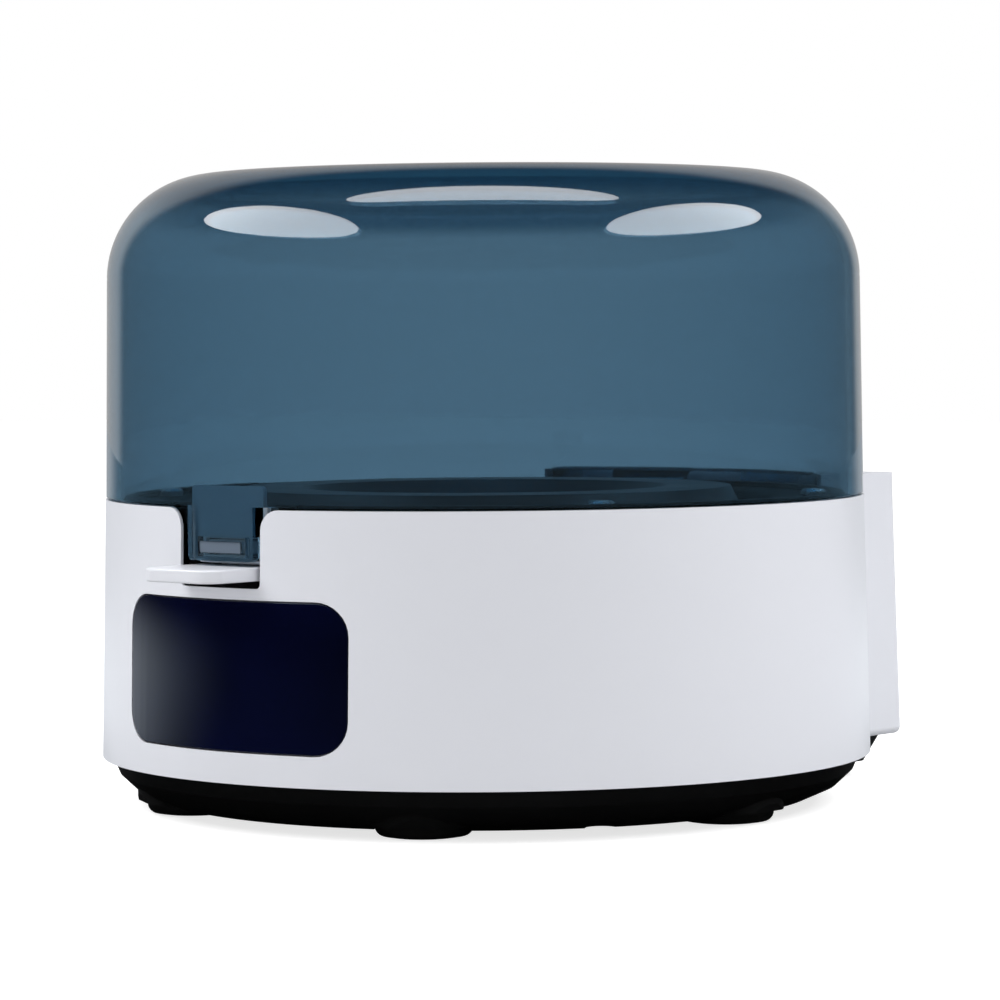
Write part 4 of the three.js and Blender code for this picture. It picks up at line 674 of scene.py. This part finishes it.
def makeLatch(size):
    outline = (
        arcPoints((size["corner"] - size["half"], size["corner"] - size["front"]), size["corner"], 180, 270, 10)
        + arcPoints((size["half"] - size["corner"], size["corner"] - size["front"]), size["corner"], 270, 360, 10)
        + [(size["half"], -size["rear"]), (-size["half"], -size["rear"])]
    )
    tab = prism("latchTab", outline, "XY", size["low"], size["top"])
    post = block("post", (-size["postHalf"], size["postHalf"]), (-size["postFront"], -size["rear"]),
                 (size["low"] + 0.5, size["noseTop"]))
    nose = block("nose", (-size["postHalf"], size["postHalf"]), (-size["noseFront"], -size["rear"] - 0.5),
                 (size["noseLow"], size["noseTop"]))
    tab = join(tab, post, nose)
    roundEdges(tab, size["edge"], segments=4)
    return tab


latchTab = makeLatch(latchSize)
dress(latchTab, whiteAbs, "latch", ["latch_button"])

springSize = {"radius": 2.0, "wire": 0.6, "rear": 65.7, "front": 70.9, "centre": 55.2, "turns": 5, "steps": 14}


def makeSpring(size):
    # the wire's end is carried round the spring's axis in short steps
    sides = arcPoints((size["radius"], -size["rear"]), size["wire"] / 2, 0, 360, 8)[:-1]
    points = [(x, y, size["centre"]) for x, y in sides]
    spring = drawLine("latchSpring", points + points[:1])
    bpy.ops.mesh.select_all(action="SELECT")
    bpy.ops.mesh.remove_doubles(threshold=0.002 * mm)
    bpy.ops.mesh.edge_face_add()
    count = size["turns"] * size["steps"]
    for _ in range(count):
        bpy.ops.mesh.extrude_region_move(
            TRANSFORM_OT_translate={"value": (0, (size["rear"] - size["front"]) / count * mm, 0)})
        bpy.ops.transform.rotate(value=2 * math.pi / size["steps"], orient_axis="Y",
                                 center_override=(0, 0, size["centre"] * mm))
    bpy.ops.mesh.select_all(action="SELECT")
    bpy.ops.mesh.normals_make_consistent(inside=False)
    bpy.ops.object.mode_set(mode="OBJECT")
    smooth(spring, 50)
    return spring


latchSpring = makeSpring(springSize)
latchSpring.data.materials.append(drawnSteel)
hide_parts("latch_spring")
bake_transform(latchSpring)
print("made", latchSpring.name, len(latchSpring.data.polygons), "faces")

plateSize = {
    "half": 9.6, "low": 53.6, "top": 69.0, "corner": 0.8, "outer": 76.4, "inner": 75.3,
    "slotHalf": 6.2, "slot": (55.3, 58.6), "edge": 0.15,
}


def makeCatchPlate(size):
    # stands behind the lid's tongue, with a slot for the latch's nose
    plate = keep(
        prism("catchPlate", roundedBox(-size["half"], size["half"], size["low"], size["top"], size["corner"], 5),
              "XZ", -90, -50),
        turned("plateSkin", [(size["inner"], 40), (size["outer"], 40), (size["outer"], 80), (size["inner"], 80)]),
    )
    plate = cut(plate, block("slot", (-size["slotHalf"], size["slotHalf"]), (-90, -70), size["slot"]))
    roundEdges(plate, size["edge"])
    return plate


catchPlate = makeCatchPlate(plateSize)
dress(catchPlate, whiteAbs, "base", [])

# Bowl, lip and seal

bowlSize = {
    "deckTop": 64.2, "deckThick": 3.0, "deckRadius": 76.7, "mouth": 60.0, "floorRadius": 58.0, "floor": 35.2,
    "wall": 2.4, "fillet": 6.0, "hole": 6.0, "collar": 2.0, "lipOuter": 74.5, "lipInner": 73.1, "lipTop": 64.6,
    "break": 9.0, "endBlock": 3.5, "sealRadius": 76.0, "sealTop": 65.4, "sealSkin": 0.5, "edge": 0.35,
    "postCircle": 69.6, "screwHole": 1.5, "plateHalf": 10.6, "plateRadius": 74.9,
}


def frontWedge(name, half, low, top):
    return prism(name, [(0, 0)] + arcPoints((0, 0), 120, -90 - half, -90 + half, 6), "XY", low, top)


def makeBowl(size):
    floor, deck = size["floor"], size["deckTop"]
    centre = (size["floorRadius"] - size["fillet"], floor + size["fillet"])
    section = (
        [(size["hole"], floor - size["wall"]), (size["hole"], floor + size["collar"]),
         (size["hole"] + size["wall"], floor + size["collar"]), (size["hole"] + size["wall"], floor)]
        + arcPoints(centre, size["fillet"], -90, 0, 8)
        + [(size["mouth"], deck - 2.4)]
        + arcPoints((size["mouth"] + 2.4, deck - 2.4), 2.4, 180, 90, 6)[1:]
        + [(size["lipInner"], deck), (size["lipInner"], size["lipTop"]), (size["lipOuter"], size["lipTop"]),
           (size["lipOuter"], deck), (size["deckRadius"], deck), (size["deckRadius"], deck - size["deckThick"]),
           (size["mouth"] + 2.4, deck - size["deckThick"])]
        + arcPoints(centre, size["fillet"] + size["wall"], 0, -90, 8)
    )
    bowl = turned("rotorBowl", section)
    wide = size["break"] + size["endBlock"]
    bowl = cut(bowl, frontWedge("break", wide, deck, 90))
    ends = keep(
        turned("endBlocks", [(size["lipInner"], deck - 1), (size["sealRadius"], deck - 1),
                             (size["sealRadius"], size["sealTop"]), (size["lipInner"], size["sealTop"])]),
        cut(frontWedge("ends", wide, 40, 90), frontWedge("between", size["break"], 30, 100)),
    )
    bowl = join(bowl, ends)
    plateRoom = block("plateRoom", (-size["plateHalf"], size["plateHalf"]), (-90, -size["plateRadius"]), (50, 90))
    bowl = cut(bowl, plateRoom)
    for angle in (60, 120, 240, 300):
        bowl = cut(bowl, rod("screwHole", onCircle(size["postCircle"], angle), size["screwHole"], "XY", 55, 70, 24))
    roundEdges(bowl, size["edge"])
    return bowl


rotorBowl = makeBowl(bowlSize)
dress(rotorBowl, blackAbs, "base", ["bowl"])


def makeSeal(size):
    foot, top = size["deckTop"] + 0.3, size["sealTop"]
    section = [
        (size["lipOuter"] + 0.3, foot), (size["sealRadius"], foot), (size["sealRadius"], top),
        (size["lipInner"], top), (size["lipInner"], top - size["sealSkin"]),
        (size["lipOuter"] + 0.3, top - size["sealSkin"]),
    ]
    seal = turned("rimSeal", section)
    seal = cut(seal, frontWedge("break", size["break"] + size["endBlock"] + 0.45, 50, 90))
    roundEdges(seal, 0.15)
    return seal


rimSeal = makeSeal(bowlSize)
dress(rimSeal, sealSilicone, "base", ["rim_gasket"])

# Bottom pan and feet

panSize = {
    "under": 1.5, "flat": 68.9, "bend": (74.3, 3.9), "side": (77.6, 7.0), "rim": (79.0, 10.2), "wall": 2.6,
    "lipOuter": 77.7, "lipThick": 2.0, "lipTop": 15.7, "tailHalf": 40.2, "tailRear": 89.6, "tailLow": 3.2,
    "taper": 3.0, "footCircle": 64.0, "footRadius": 9.8, "footFlat": 7.4, "footRound": 2.0, "footHeight": 6.0,
    "postCircle": 69.6, "well": 3.3, "wellDeep": 5.0, "vents": (-7.5, -2.5, 2.5, 7.5), "ventWide": 2.4,
    "ventSpan": (23.0, 45.0), "edge": 0.6,
}


def makePan(size):
    lip = size["lipOuter"] - size["lipThick"]
    section = [
        (0, size["under"]), (size["flat"], size["under"]), size["bend"], size["side"], size["rim"],
        (size["lipOuter"], size["rim"][1]), (size["lipOuter"], size["lipTop"]), (lip, size["lipTop"]),
        (lip, size["rim"][1]), (lip - 1.3, size["side"][1]),
        (size["flat"] - 1.3, size["under"] + size["wall"]), (0, size["under"] + size["wall"]),
    ]
    pan = turned("bottomPan", section)
    half, rear, taper = size["tailHalf"], size["tailRear"], size["taper"]
    tail = prism("tail", (
        [(-half, 55), (half, 55)]
        + arcPoints((half - taper, rear - taper), taper, 0, 90, 6)
        + arcPoints((taper - half, rear - taper), taper, 90, 180, 6)
    ), "XY", size["tailLow"], size["rim"][1])
    editOnly(tail)
    selectPoints(tail, lambda p: p.z < size["tailLow"] + 1)
    bpy.ops.transform.resize(value=(1 - taper / half, 1, 1), center_override=(0, 0, 0))
    selectPoints(tail, lambda p: p.z < size["tailLow"] + 1 and p.y > 60)
    bpy.ops.transform.translate(value=(0, -taper * mm, 0))
    bpy.ops.object.mode_set(mode="OBJECT")
    inner = turned("inner", [(0, 0), (size["flat"] + 3, 0), (size["side"][0] - 1, size["side"][1]),
                             (size["lipOuter"] - 1, 30), (0, 30)])
    hollow = block("hollow", (size["wall"] - half + 1, half - size["wall"] - 1), (50, rear - size["wall"] - taper),
                   (size["tailLow"] + size["wall"], 30))
    pan = join(pan, cut(tail, inner, hollow))
    pan = cut(pan, block("lipGap", (-half - 5, half + 5), (size["postCircle"], 100), (size["rim"][1], 30)))
    for i in range(6):
        place = onCircle(size["footCircle"], 30 + 60 * i)
        boss = rod("boss", place, size["footRadius"] + 2, "XY", size["under"] + 1, size["footHeight"] + 2, 40)
        limit = turned("limit", [(0, 0), (size["flat"] + 5, 0), (size["side"][0] - 0.5, size["side"][1]),
                                 (size["side"][0] - 0.5, 12), (0, 12)], 64)
        pan = join(pan, keep(boss, limit))
    for i in range(6):
        place = onCircle(size["footCircle"], 30 + 60 * i)
        pan = cut(pan, rod("socket", place, size["footRadius"] + 0.3, "XY", -5, size["footHeight"] + 0.3, 48))
    for angle in (60, 120, 240, 300):
        pan = cut(pan, rod("well", onCircle(size["postCircle"], angle), size["well"], "XY", -5,
                           size["under"] + size["wellDeep"] - 3, 32))
    for y in size["vents"]:
        for side in (-1, 1):
            span = sorted((side * size["ventSpan"][0], side * size["ventSpan"][1]))
            half = size["ventWide"] / 2
            pan = cut(pan, prism("vent", roundedBox(*span, y - half, y + half, half - 0.01, 5), "XY", -2, 6))
    roundEdges(pan, size["edge"], angle=20)
    return pan


bottomPan = makePan(panSize)
dress(bottomPan, blackAbs, "base", ["bottom_pan"])


def makeFoot(size):
    radius, soft = size["footRadius"], size["footRound"]
    section = (
        [(0, 0.25), (5.2, 0.25), (5.5, 0), (size["footFlat"], 0)]
        + arcPoints((radius - soft, soft), soft, -62, 0, 6)
        + [(radius, size["footHeight"]), (0, size["footHeight"])]
    )
    foot = turned("rubberFoot1", section, 64)
    foot.data.transform(Matrix.Translation((0, -size["footCircle"] * mm, 0)))
    smooth(foot)
    return foot


firstFoot = makeFoot(panSize)
rubberFeet = [firstFoot] + [copyTurned(firstFoot, f"rubberFoot{i + 1}", 60 * i) for i in range(1, 6)]
for i, foot in enumerate(rubberFeet):
    foot.data.transform(Matrix.Rotation(math.radians(30), 4, "Z"))
    dress(foot, footRubber, "base", [f"foot_{i + 1}"])

# Rotor and its knob

rotorSize = {
    "radius": 55.0, "low": 37.5, "top": 66.5, "hubRadius": 11.0, "hubLow": 39.7, "hubTop": 50.0, "rimInner": 38.5,
    "coneInner": 22.0, "under": 34.1, "bore": 4.3, "chamfer": 3.0, "sockets": 8, "socketRadius": 5.6,
    "socketDeep": 18.0, "tipDeep": 24.0, "tipRadius": 2.0, "socketCircle": 30.0, "socketZ": 58.0, "edge": 0.5,
    "knobRadius": 11.0, "knobLow": 50.3, "knobTop": 60.3, "flutes": 12, "fluteDepth": 0.8, "knobEdge": 1.5,
}


def makeRotor(size):
    chamfer = size["chamfer"]
    rotor = turned("tubeRotor", [
        (size["bore"], size["hubLow"]), (size["hubRadius"], size["hubLow"]),
        (size["hubRadius"] + chamfer, size["hubLow"] + chamfer), (size["under"], size["low"]),
        (size["radius"] - 2 * chamfer, size["low"]), (size["radius"] - chamfer / 2, size["low"] + 2 * chamfer),
        (size["radius"], size["top"] - 2 * chamfer), (size["radius"] - chamfer, size["top"]),
        (size["rimInner"], size["top"]), (size["coneInner"], size["hubTop"]), (size["bore"], size["hubTop"]),
    ], 160)
    for i in range(size["sockets"]):
        socket = turned("socket", [
            (0, -size["tipDeep"]), (size["tipRadius"], -size["tipDeep"]), (size["socketRadius"], -size["socketDeep"]),
            (size["socketRadius"], size["socketDeep"]), (0, size["socketDeep"]),
        ], 40)
        lean = Matrix.Rotation(math.radians(-45), 4, "Y")
        place = Matrix.Translation(Vector((size["socketCircle"], 0, size["socketZ"])) * mm)
        socket.data.transform(Matrix.Rotation(math.radians(45 * i), 4, "Z") @ place @ lean)
        rotor = cut(rotor, socket)
    roundEdges(rotor, size["edge"])
    return rotor


tubeRotor = makeRotor(rotorSize)
dress(tubeRotor, rotorPolypropylene, "rotor_group", ["rotor"])


def makeKnob(size):
    outline = []
    for i in range(size["flutes"] * 8):
        angle = 2 * math.pi * i / (size["flutes"] * 8)
        radius = size["knobRadius"] - size["fluteDepth"] * (1 - math.cos(angle * size["flutes"])) / 2
        outline.append((radius * math.cos(angle), radius * math.sin(angle)))
    knob = prism("rotorKnob", outline, "XY", size["knobLow"], size["knobTop"])
    edge = size["knobEdge"]
    envelope = turned("envelope", (
        [(0, size["knobLow"] - 1), (size["knobRadius"] + 1, size["knobLow"] - 1)]
        + arcPoints((size["knobRadius"] - edge, size["knobTop"] - edge), edge, 0, 90, 6)
        + [(0, size["knobTop"])]
    ), 96)
    dimple = turned("dimple", [(0, size["knobTop"] - 0.6), (5.0, size["knobTop"] - 0.6),
                               (5.8, size["knobTop"] + 1), (0, size["knobTop"] + 1)], 64)
    hole = rod("hole", (0, 0), 2.8, "XY", size["knobLow"] - 2, 58.3, 32)
    knob = cut(keep(knob, envelope), dimple, hole)
    roundEdges(knob, 0.3)
    return knob


rotorKnob = makeKnob(rotorSize)
dress(rotorKnob, blackAbs, "rotor_group", ["rotor_knob"])

# Rear fittings

fittingSize = {
    "face": 88.4, "z": 37.5, "switchX": 17.0, "flange": (10.5, 7.5, 1.2), "body": (9.3, 6.3), "bodyDeep": 13.0,
    "rocker": (8.2, 5.4, 4.5), "tilt": 10.0, "inlet": (7.0, 5.5), "inletDeep": 12.0, "bore": 3.2, "boreDeep": 9.0,
    "pin": 1.0,
}


def makeSwitchFrame(size):
    x, z, face = size["switchX"], size["z"], size["face"]
    halfX, halfZ, lift = size["flange"]
    flange = prism("switchFrame", roundedBox(x - halfX, x + halfX, z - halfZ, z + halfZ, 1.2, 4), "XZ",
                   face + 0.15, face + lift)
    body = block("body", (x - size["body"][0], x + size["body"][0]), (face - size["bodyDeep"], face + lift / 2),
                 (z - size["body"][1], z + size["body"][1]))
    well = block("well", (x - size["rocker"][0] - 0.3, x + size["rocker"][0] + 0.3),
                 (face - size["rocker"][2] - lift, face + 5),
                 (z - size["rocker"][1] - 0.3, z + size["rocker"][1] + 0.3))
    flange = cut(join(flange, body), well)
    roundEdges(flange, 0.3)
    return flange


switchFrame = makeSwitchFrame(fittingSize)
dress(switchFrame, blackAbs, "base", ["power_switch"])


def makeRocker(size):
    face = size["face"] + size["flange"][2]
    halfX, halfZ, deep = size["rocker"]
    rise = halfZ * math.tan(math.radians(size["tilt"]))
    hollow = [(face + rise / 2, 0.3 - halfZ)]
    for i in range(1, 8):
        t = -1 + 2 * i / 8
        hollow.append((face + rise / 2 * t * t, t * (halfZ - 0.3)))
    hollow.append((face + rise / 2, halfZ - 0.3))
    outline = hollow + [(face - size["flange"][2], halfZ - 0.3), (face - deep + rise, 0),
                        (face - size["flange"][2], 0.3 - halfZ)]
    rocker = prism("powerRocker", outline, "YZ", -halfX, halfX)
    line = block("line", (-0.3, 0.3), (face - 0.3, face + 3), (1.6, 3.8))
    ring = cut(rod("ring", (0, -2.7), 1.2, "XZ", face - 0.3, face + 3, 32),
               rod("middle", (0, -2.7), 0.75, "XZ", face - 1, face + 4, 32))
    rocker = cut(rocker, line, ring)
    roundEdges(rocker, 0.2, segments=2)
    pivot = face - deep / 2
    rocker.data.transform(
        Matrix.Translation(Vector((size["switchX"], pivot, size["z"])) * mm)
        @ Matrix.Rotation(math.radians(size["tilt"]), 4, "X")
        @ Matrix.Translation(Vector((0, -pivot, 0)) * mm)
    )
    return rocker


powerRocker = makeRocker(fittingSize)
dress(powerRocker, blackAbs, "rocker", ["power_rocker"])


def makeInlet(size):
    x, z = -size["switchX"], size["z"]
    face = size["face"] + size["flange"][2]
    halfX, halfZ = size["inlet"]
    inlet = prism("powerInlet", roundedBox(x - halfX, x + halfX, z - halfZ, z + halfZ, 1.0, 4), "XZ",
                  face - size["inletDeep"], face)
    inlet = cut(inlet, rod("bore", (x, z), size["bore"], "XZ", face - size["boreDeep"], face + 2, 48))
    inlet = join(inlet, rod("pin", (x, z), size["pin"], "XZ", face - size["boreDeep"] - 1, face - 1, 24))
    roundEdges(inlet, 0.25)
    return inlet


powerInlet = makeInlet(fittingSize)
dress(powerInlet, blackAbs, "base", ["dc_inlet"])

# Finishes for the pieces that keep their modelled shape

keptFinishes = [
    (("screw", "hinge_pin", "drive_shaft"), drawnSteel),
    (("motor_damper",), footRubber),
    (("motor_lead", "switch_lead", "latch_guide", "lid_sensor"), blackAbs),
    (("motor", "motor_plate"), zincSteel),
    (("display_board", "main_board"), solderMask),
    (("display_ribbon",), greySleeve),
    (("inlet_lead",), redSleeve),
    (("display_module",), windowAcrylic),
]
for name, node in nodes.items():
    if node.hide_render:
        continue
    for starts, material in keptFinishes:
        if any(key in name for key in starts):
            node.data.materials.clear()
            node.data.materials.append(material)
            break
    else:
        print("no finish for", name)

# Floor, backdrop and light

studioSize = {
    "floor": 6.0, "fill": 0.49, "paper": (0.60, 0.64), "glow": 0.74, "roomDark": 0.02,
    "backdropWide": (0.42, 0.78), "backdropHigh": (0.5, 1.1),  # its soft edges, as shares of its distance
    "backdropLevel": 0.52, "backdropTurn": 5.0,
    "paperTurn": (-0.3, 0.6), "paperFrom": (0.09, 0.3),  # where the floor starts to show in glossy faces
    "paperTo": (0.5, 1.2), "paperStraight": (0.79, 0.93), "paperSeen": (0.92, 0.98, 1.04),
    "lamps": [  # name, degrees from the camera, degrees up, metres away, width, height, watts
        ("leftSoftbox", -80.0, 47.0, 1.3, 1.3, 0.5, 9.5),
        ("rightSoftbox", 80.0, 47.0, 1.3, 1.3, 0.5, 9.5),
        ("topSoftbox", 0.0, 88.0, 1.2, 1.0, 0.4, 5.5),
    ],
}


def dotWith(tree, source, output, direction):
    # how far a direction points along a fixed one
    along = addNode(tree, "ShaderNodeVectorMath", {"operation": "DOT_PRODUCT"})
    tree.links.new(source.outputs[output], along.inputs[0])
    along.inputs[1].default_value = direction
    return along


def twoNumbers(tree, operation, first, second):
    step = addNode(tree, "ShaderNodeMath", {"operation": operation})
    tree.links.new(first, step.inputs[0])
    tree.links.new(second, step.inputs[1])
    return step.outputs[0]


def softStep(tree, source, ends, low, high):
    step = addNode(tree, "ShaderNodeMapRange", {
        "interpolation_type": "SMOOTHSTEP", "From Min": ends[0], "From Max": ends[1], "To Min": low, "To Max": high,
    })
    tree.links.new(source, step.inputs["Value"])
    return step.outputs["Result"]


def makeFloor(size, behind):
    bpy.ops.object.select_all(action="DESELECT")
    bpy.ops.mesh.primitive_plane_add(size=size["floor"])
    floor = bpy.context.object
    floor.name = "studioFloor"
    bpy.ops.object.mode_set(mode="EDIT")
    bpy.ops.mesh.subdivide(number_cuts=3)
    bpy.ops.object.mode_set(mode="OBJECT")
    material, tree, output, place = surfaceTree("whitePaperSweep")
    drift = addNode(tree, "ShaderNodeTexNoise", {"Scale": 8.0}, {"Vector": (place, "Object")})
    tone = addNode(tree, "ShaderNodeMapRange", {"To Min": size["paper"][0], "To Max": size["paper"][1]},
                   {"Value": (drift, "Fac")})
    paper = addNode(tree, "ShaderNodeBsdfDiffuse", None, {"Color": (tone, "Result")})
    path = addNode(tree, "ShaderNodeLightPath")
    glow = addNode(tree, "ShaderNodeEmission", {"Strength": size["glow"]})
    lifted = addNode(tree, "ShaderNodeAddShader")
    tree.links.new(paper.outputs["BSDF"], lifted.inputs[0])
    tree.links.new(glow.outputs["Emission"], lifted.inputs[1])
    # glossy faces see the paper bright near the object and behind it, dim in front of it and far aside
    outward = addNode(tree, "ShaderNodeVectorMath", {"operation": "NORMALIZE"})
    tree.links.new(place.outputs["Object"], outward.inputs[0])
    turn = dotWith(tree, outward, "Vector", behind)
    away = addNode(tree, "ShaderNodeVectorMath", {"operation": "LENGTH"})
    tree.links.new(place.outputs["Object"], away.inputs[0])
    near = twoNumbers(
        tree, "MULTIPLY",
        softStep(tree, turn.outputs["Value"], size["paperTurn"], size["roomDark"], 1.0),
        softStep(tree, away.outputs["Value"], size["paperFrom"], 0.2, 1.0),
    )
    reach = twoNumbers(
        tree, "MAXIMUM",
        softStep(tree, away.outputs["Value"], size["paperTo"], 1.0, 0.0),
        softStep(tree, turn.outputs["Value"], size["paperStraight"], 0.0, size["backdropLevel"]),
    )
    shine = twoNumbers(tree, "MULTIPLY", near, reach)
    mirrored = addNode(tree, "ShaderNodeEmission", {"Color": (*size["paperSeen"], 1.0)})
    tree.links.new(shine, mirrored.inputs["Strength"])
    glossy = addNode(tree, "ShaderNodeMixShader")
    tree.links.new(path.outputs["Is Glossy Ray"], glossy.inputs["Fac"])
    tree.links.new(paper.outputs["BSDF"], glossy.inputs[1])
    tree.links.new(mirrored.outputs["Emission"], glossy.inputs[2])
    seen = addNode(tree, "ShaderNodeMixShader")
    tree.links.new(twoNumbers(tree, "MAXIMUM", path.outputs["Is Camera Ray"], path.outputs["Is Transmission Ray"]),
                   seen.inputs["Fac"])
    tree.links.new(glossy.outputs["Shader"], seen.inputs[1])
    tree.links.new(lifted.outputs["Shader"], seen.inputs[2])
    tree.links.new(seen.outputs["Shader"], output.inputs["Surface"])
    floor.data.materials.append(material)


def makeSky(size, behind, aside):
    # even fill on the object; white behind it; glossy faces see a white backdrop in a dim room
    world = bpy.data.worlds.new("studioSky")
    bpy.context.scene.world = world
    world.use_nodes = True
    tree = world.node_tree
    tree.nodes.clear()
    path = addNode(tree, "ShaderNodeLightPath")
    place = addNode(tree, "ShaderNodeTexCoord")
    ahead = dotWith(tree, place, "Object", behind).outputs["Value"]
    side = dotWith(tree, place, "Object", aside).outputs["Value"]
    rise = dotWith(tree, place, "Object", (0, 0, 1)).outputs["Value"]
    nearly = addNode(tree, "ShaderNodeMath", {"operation": "MAXIMUM"})
    tree.links.new(ahead, nearly.inputs[0])
    nearly.inputs[1].default_value = 0.001
    sideways = addNode(tree, "ShaderNodeMath", {"operation": "ABSOLUTE"})
    tree.links.new(side, sideways.inputs[0])
    wide = twoNumbers(tree, "DIVIDE", sideways.outputs[0], nearly.outputs[0])
    high = twoNumbers(tree, "DIVIDE", rise, nearly.outputs[0])
    backdrop = twoNumbers(
        tree, "MULTIPLY",
        softStep(tree, wide, size["backdropWide"], 1.0, 0.0),
        softStep(tree, high, size["backdropHigh"], 1.0, 0.0),
    )
    mirrored = softStep(tree, backdrop, (0.0, 1.0), size["roomDark"], size["backdropLevel"])
    glossy = addNode(tree, "ShaderNodeMapRange", {"To Min": size["fill"]}, {"Value": (path, "Is Glossy Ray")})
    tree.links.new(mirrored, glossy.inputs["To Max"])
    seen = addNode(tree, "ShaderNodeMapRange", {"To Max": 1.0}, {"To Min": (glossy, "Result")})
    tree.links.new(twoNumbers(tree, "MAXIMUM", path.outputs["Is Camera Ray"], path.outputs["Is Transmission Ray"]),
                   seen.inputs["Value"])
    sky = addNode(tree, "ShaderNodeBackground", {"Color": (1, 1, 1, 1)}, {"Strength": (seen, "Result")})
    skyOutput = addNode(tree, "ShaderNodeOutputWorld")
    tree.links.new(sky.outputs["Background"], skyOutput.inputs["Surface"])


def makeStudio(size, heading):
    turn = math.radians(heading)
    behind = Vector((-math.sin(turn), math.cos(turn), 0))
    aside = Vector((math.cos(turn), math.sin(turn), 0))
    makeFloor(size, behind)
    backdropTurn = Matrix.Rotation(math.radians(size["backdropTurn"]), 3, "Z")
    makeSky(size, backdropTurn @ behind, backdropTurn @ aside)
    for name, around, up, away, width, height, power in size["lamps"]:
        lamp = bpy.data.lights.new(name, "AREA")
        lamp.shape = "ELLIPSE"
        lamp.size = width
        lamp.size_y = height
        lamp.energy = power
        box = bpy.data.objects.new(name, lamp)
        bpy.context.scene.collection.objects.link(box)
        level = away * math.cos(math.radians(up))
        side = math.radians(around)
        box.location = (aside * math.sin(side) - behind * math.cos(side)) * level
        box.location.z = away * math.sin(math.radians(up))
        aim = Vector((0, 0, 0.06)) - box.location
        box.rotation_euler = aim.to_track_quat("-Z", "Y").to_euler()


makeStudio(studioSize, cameraSettings["heading"])
print("studio ready")
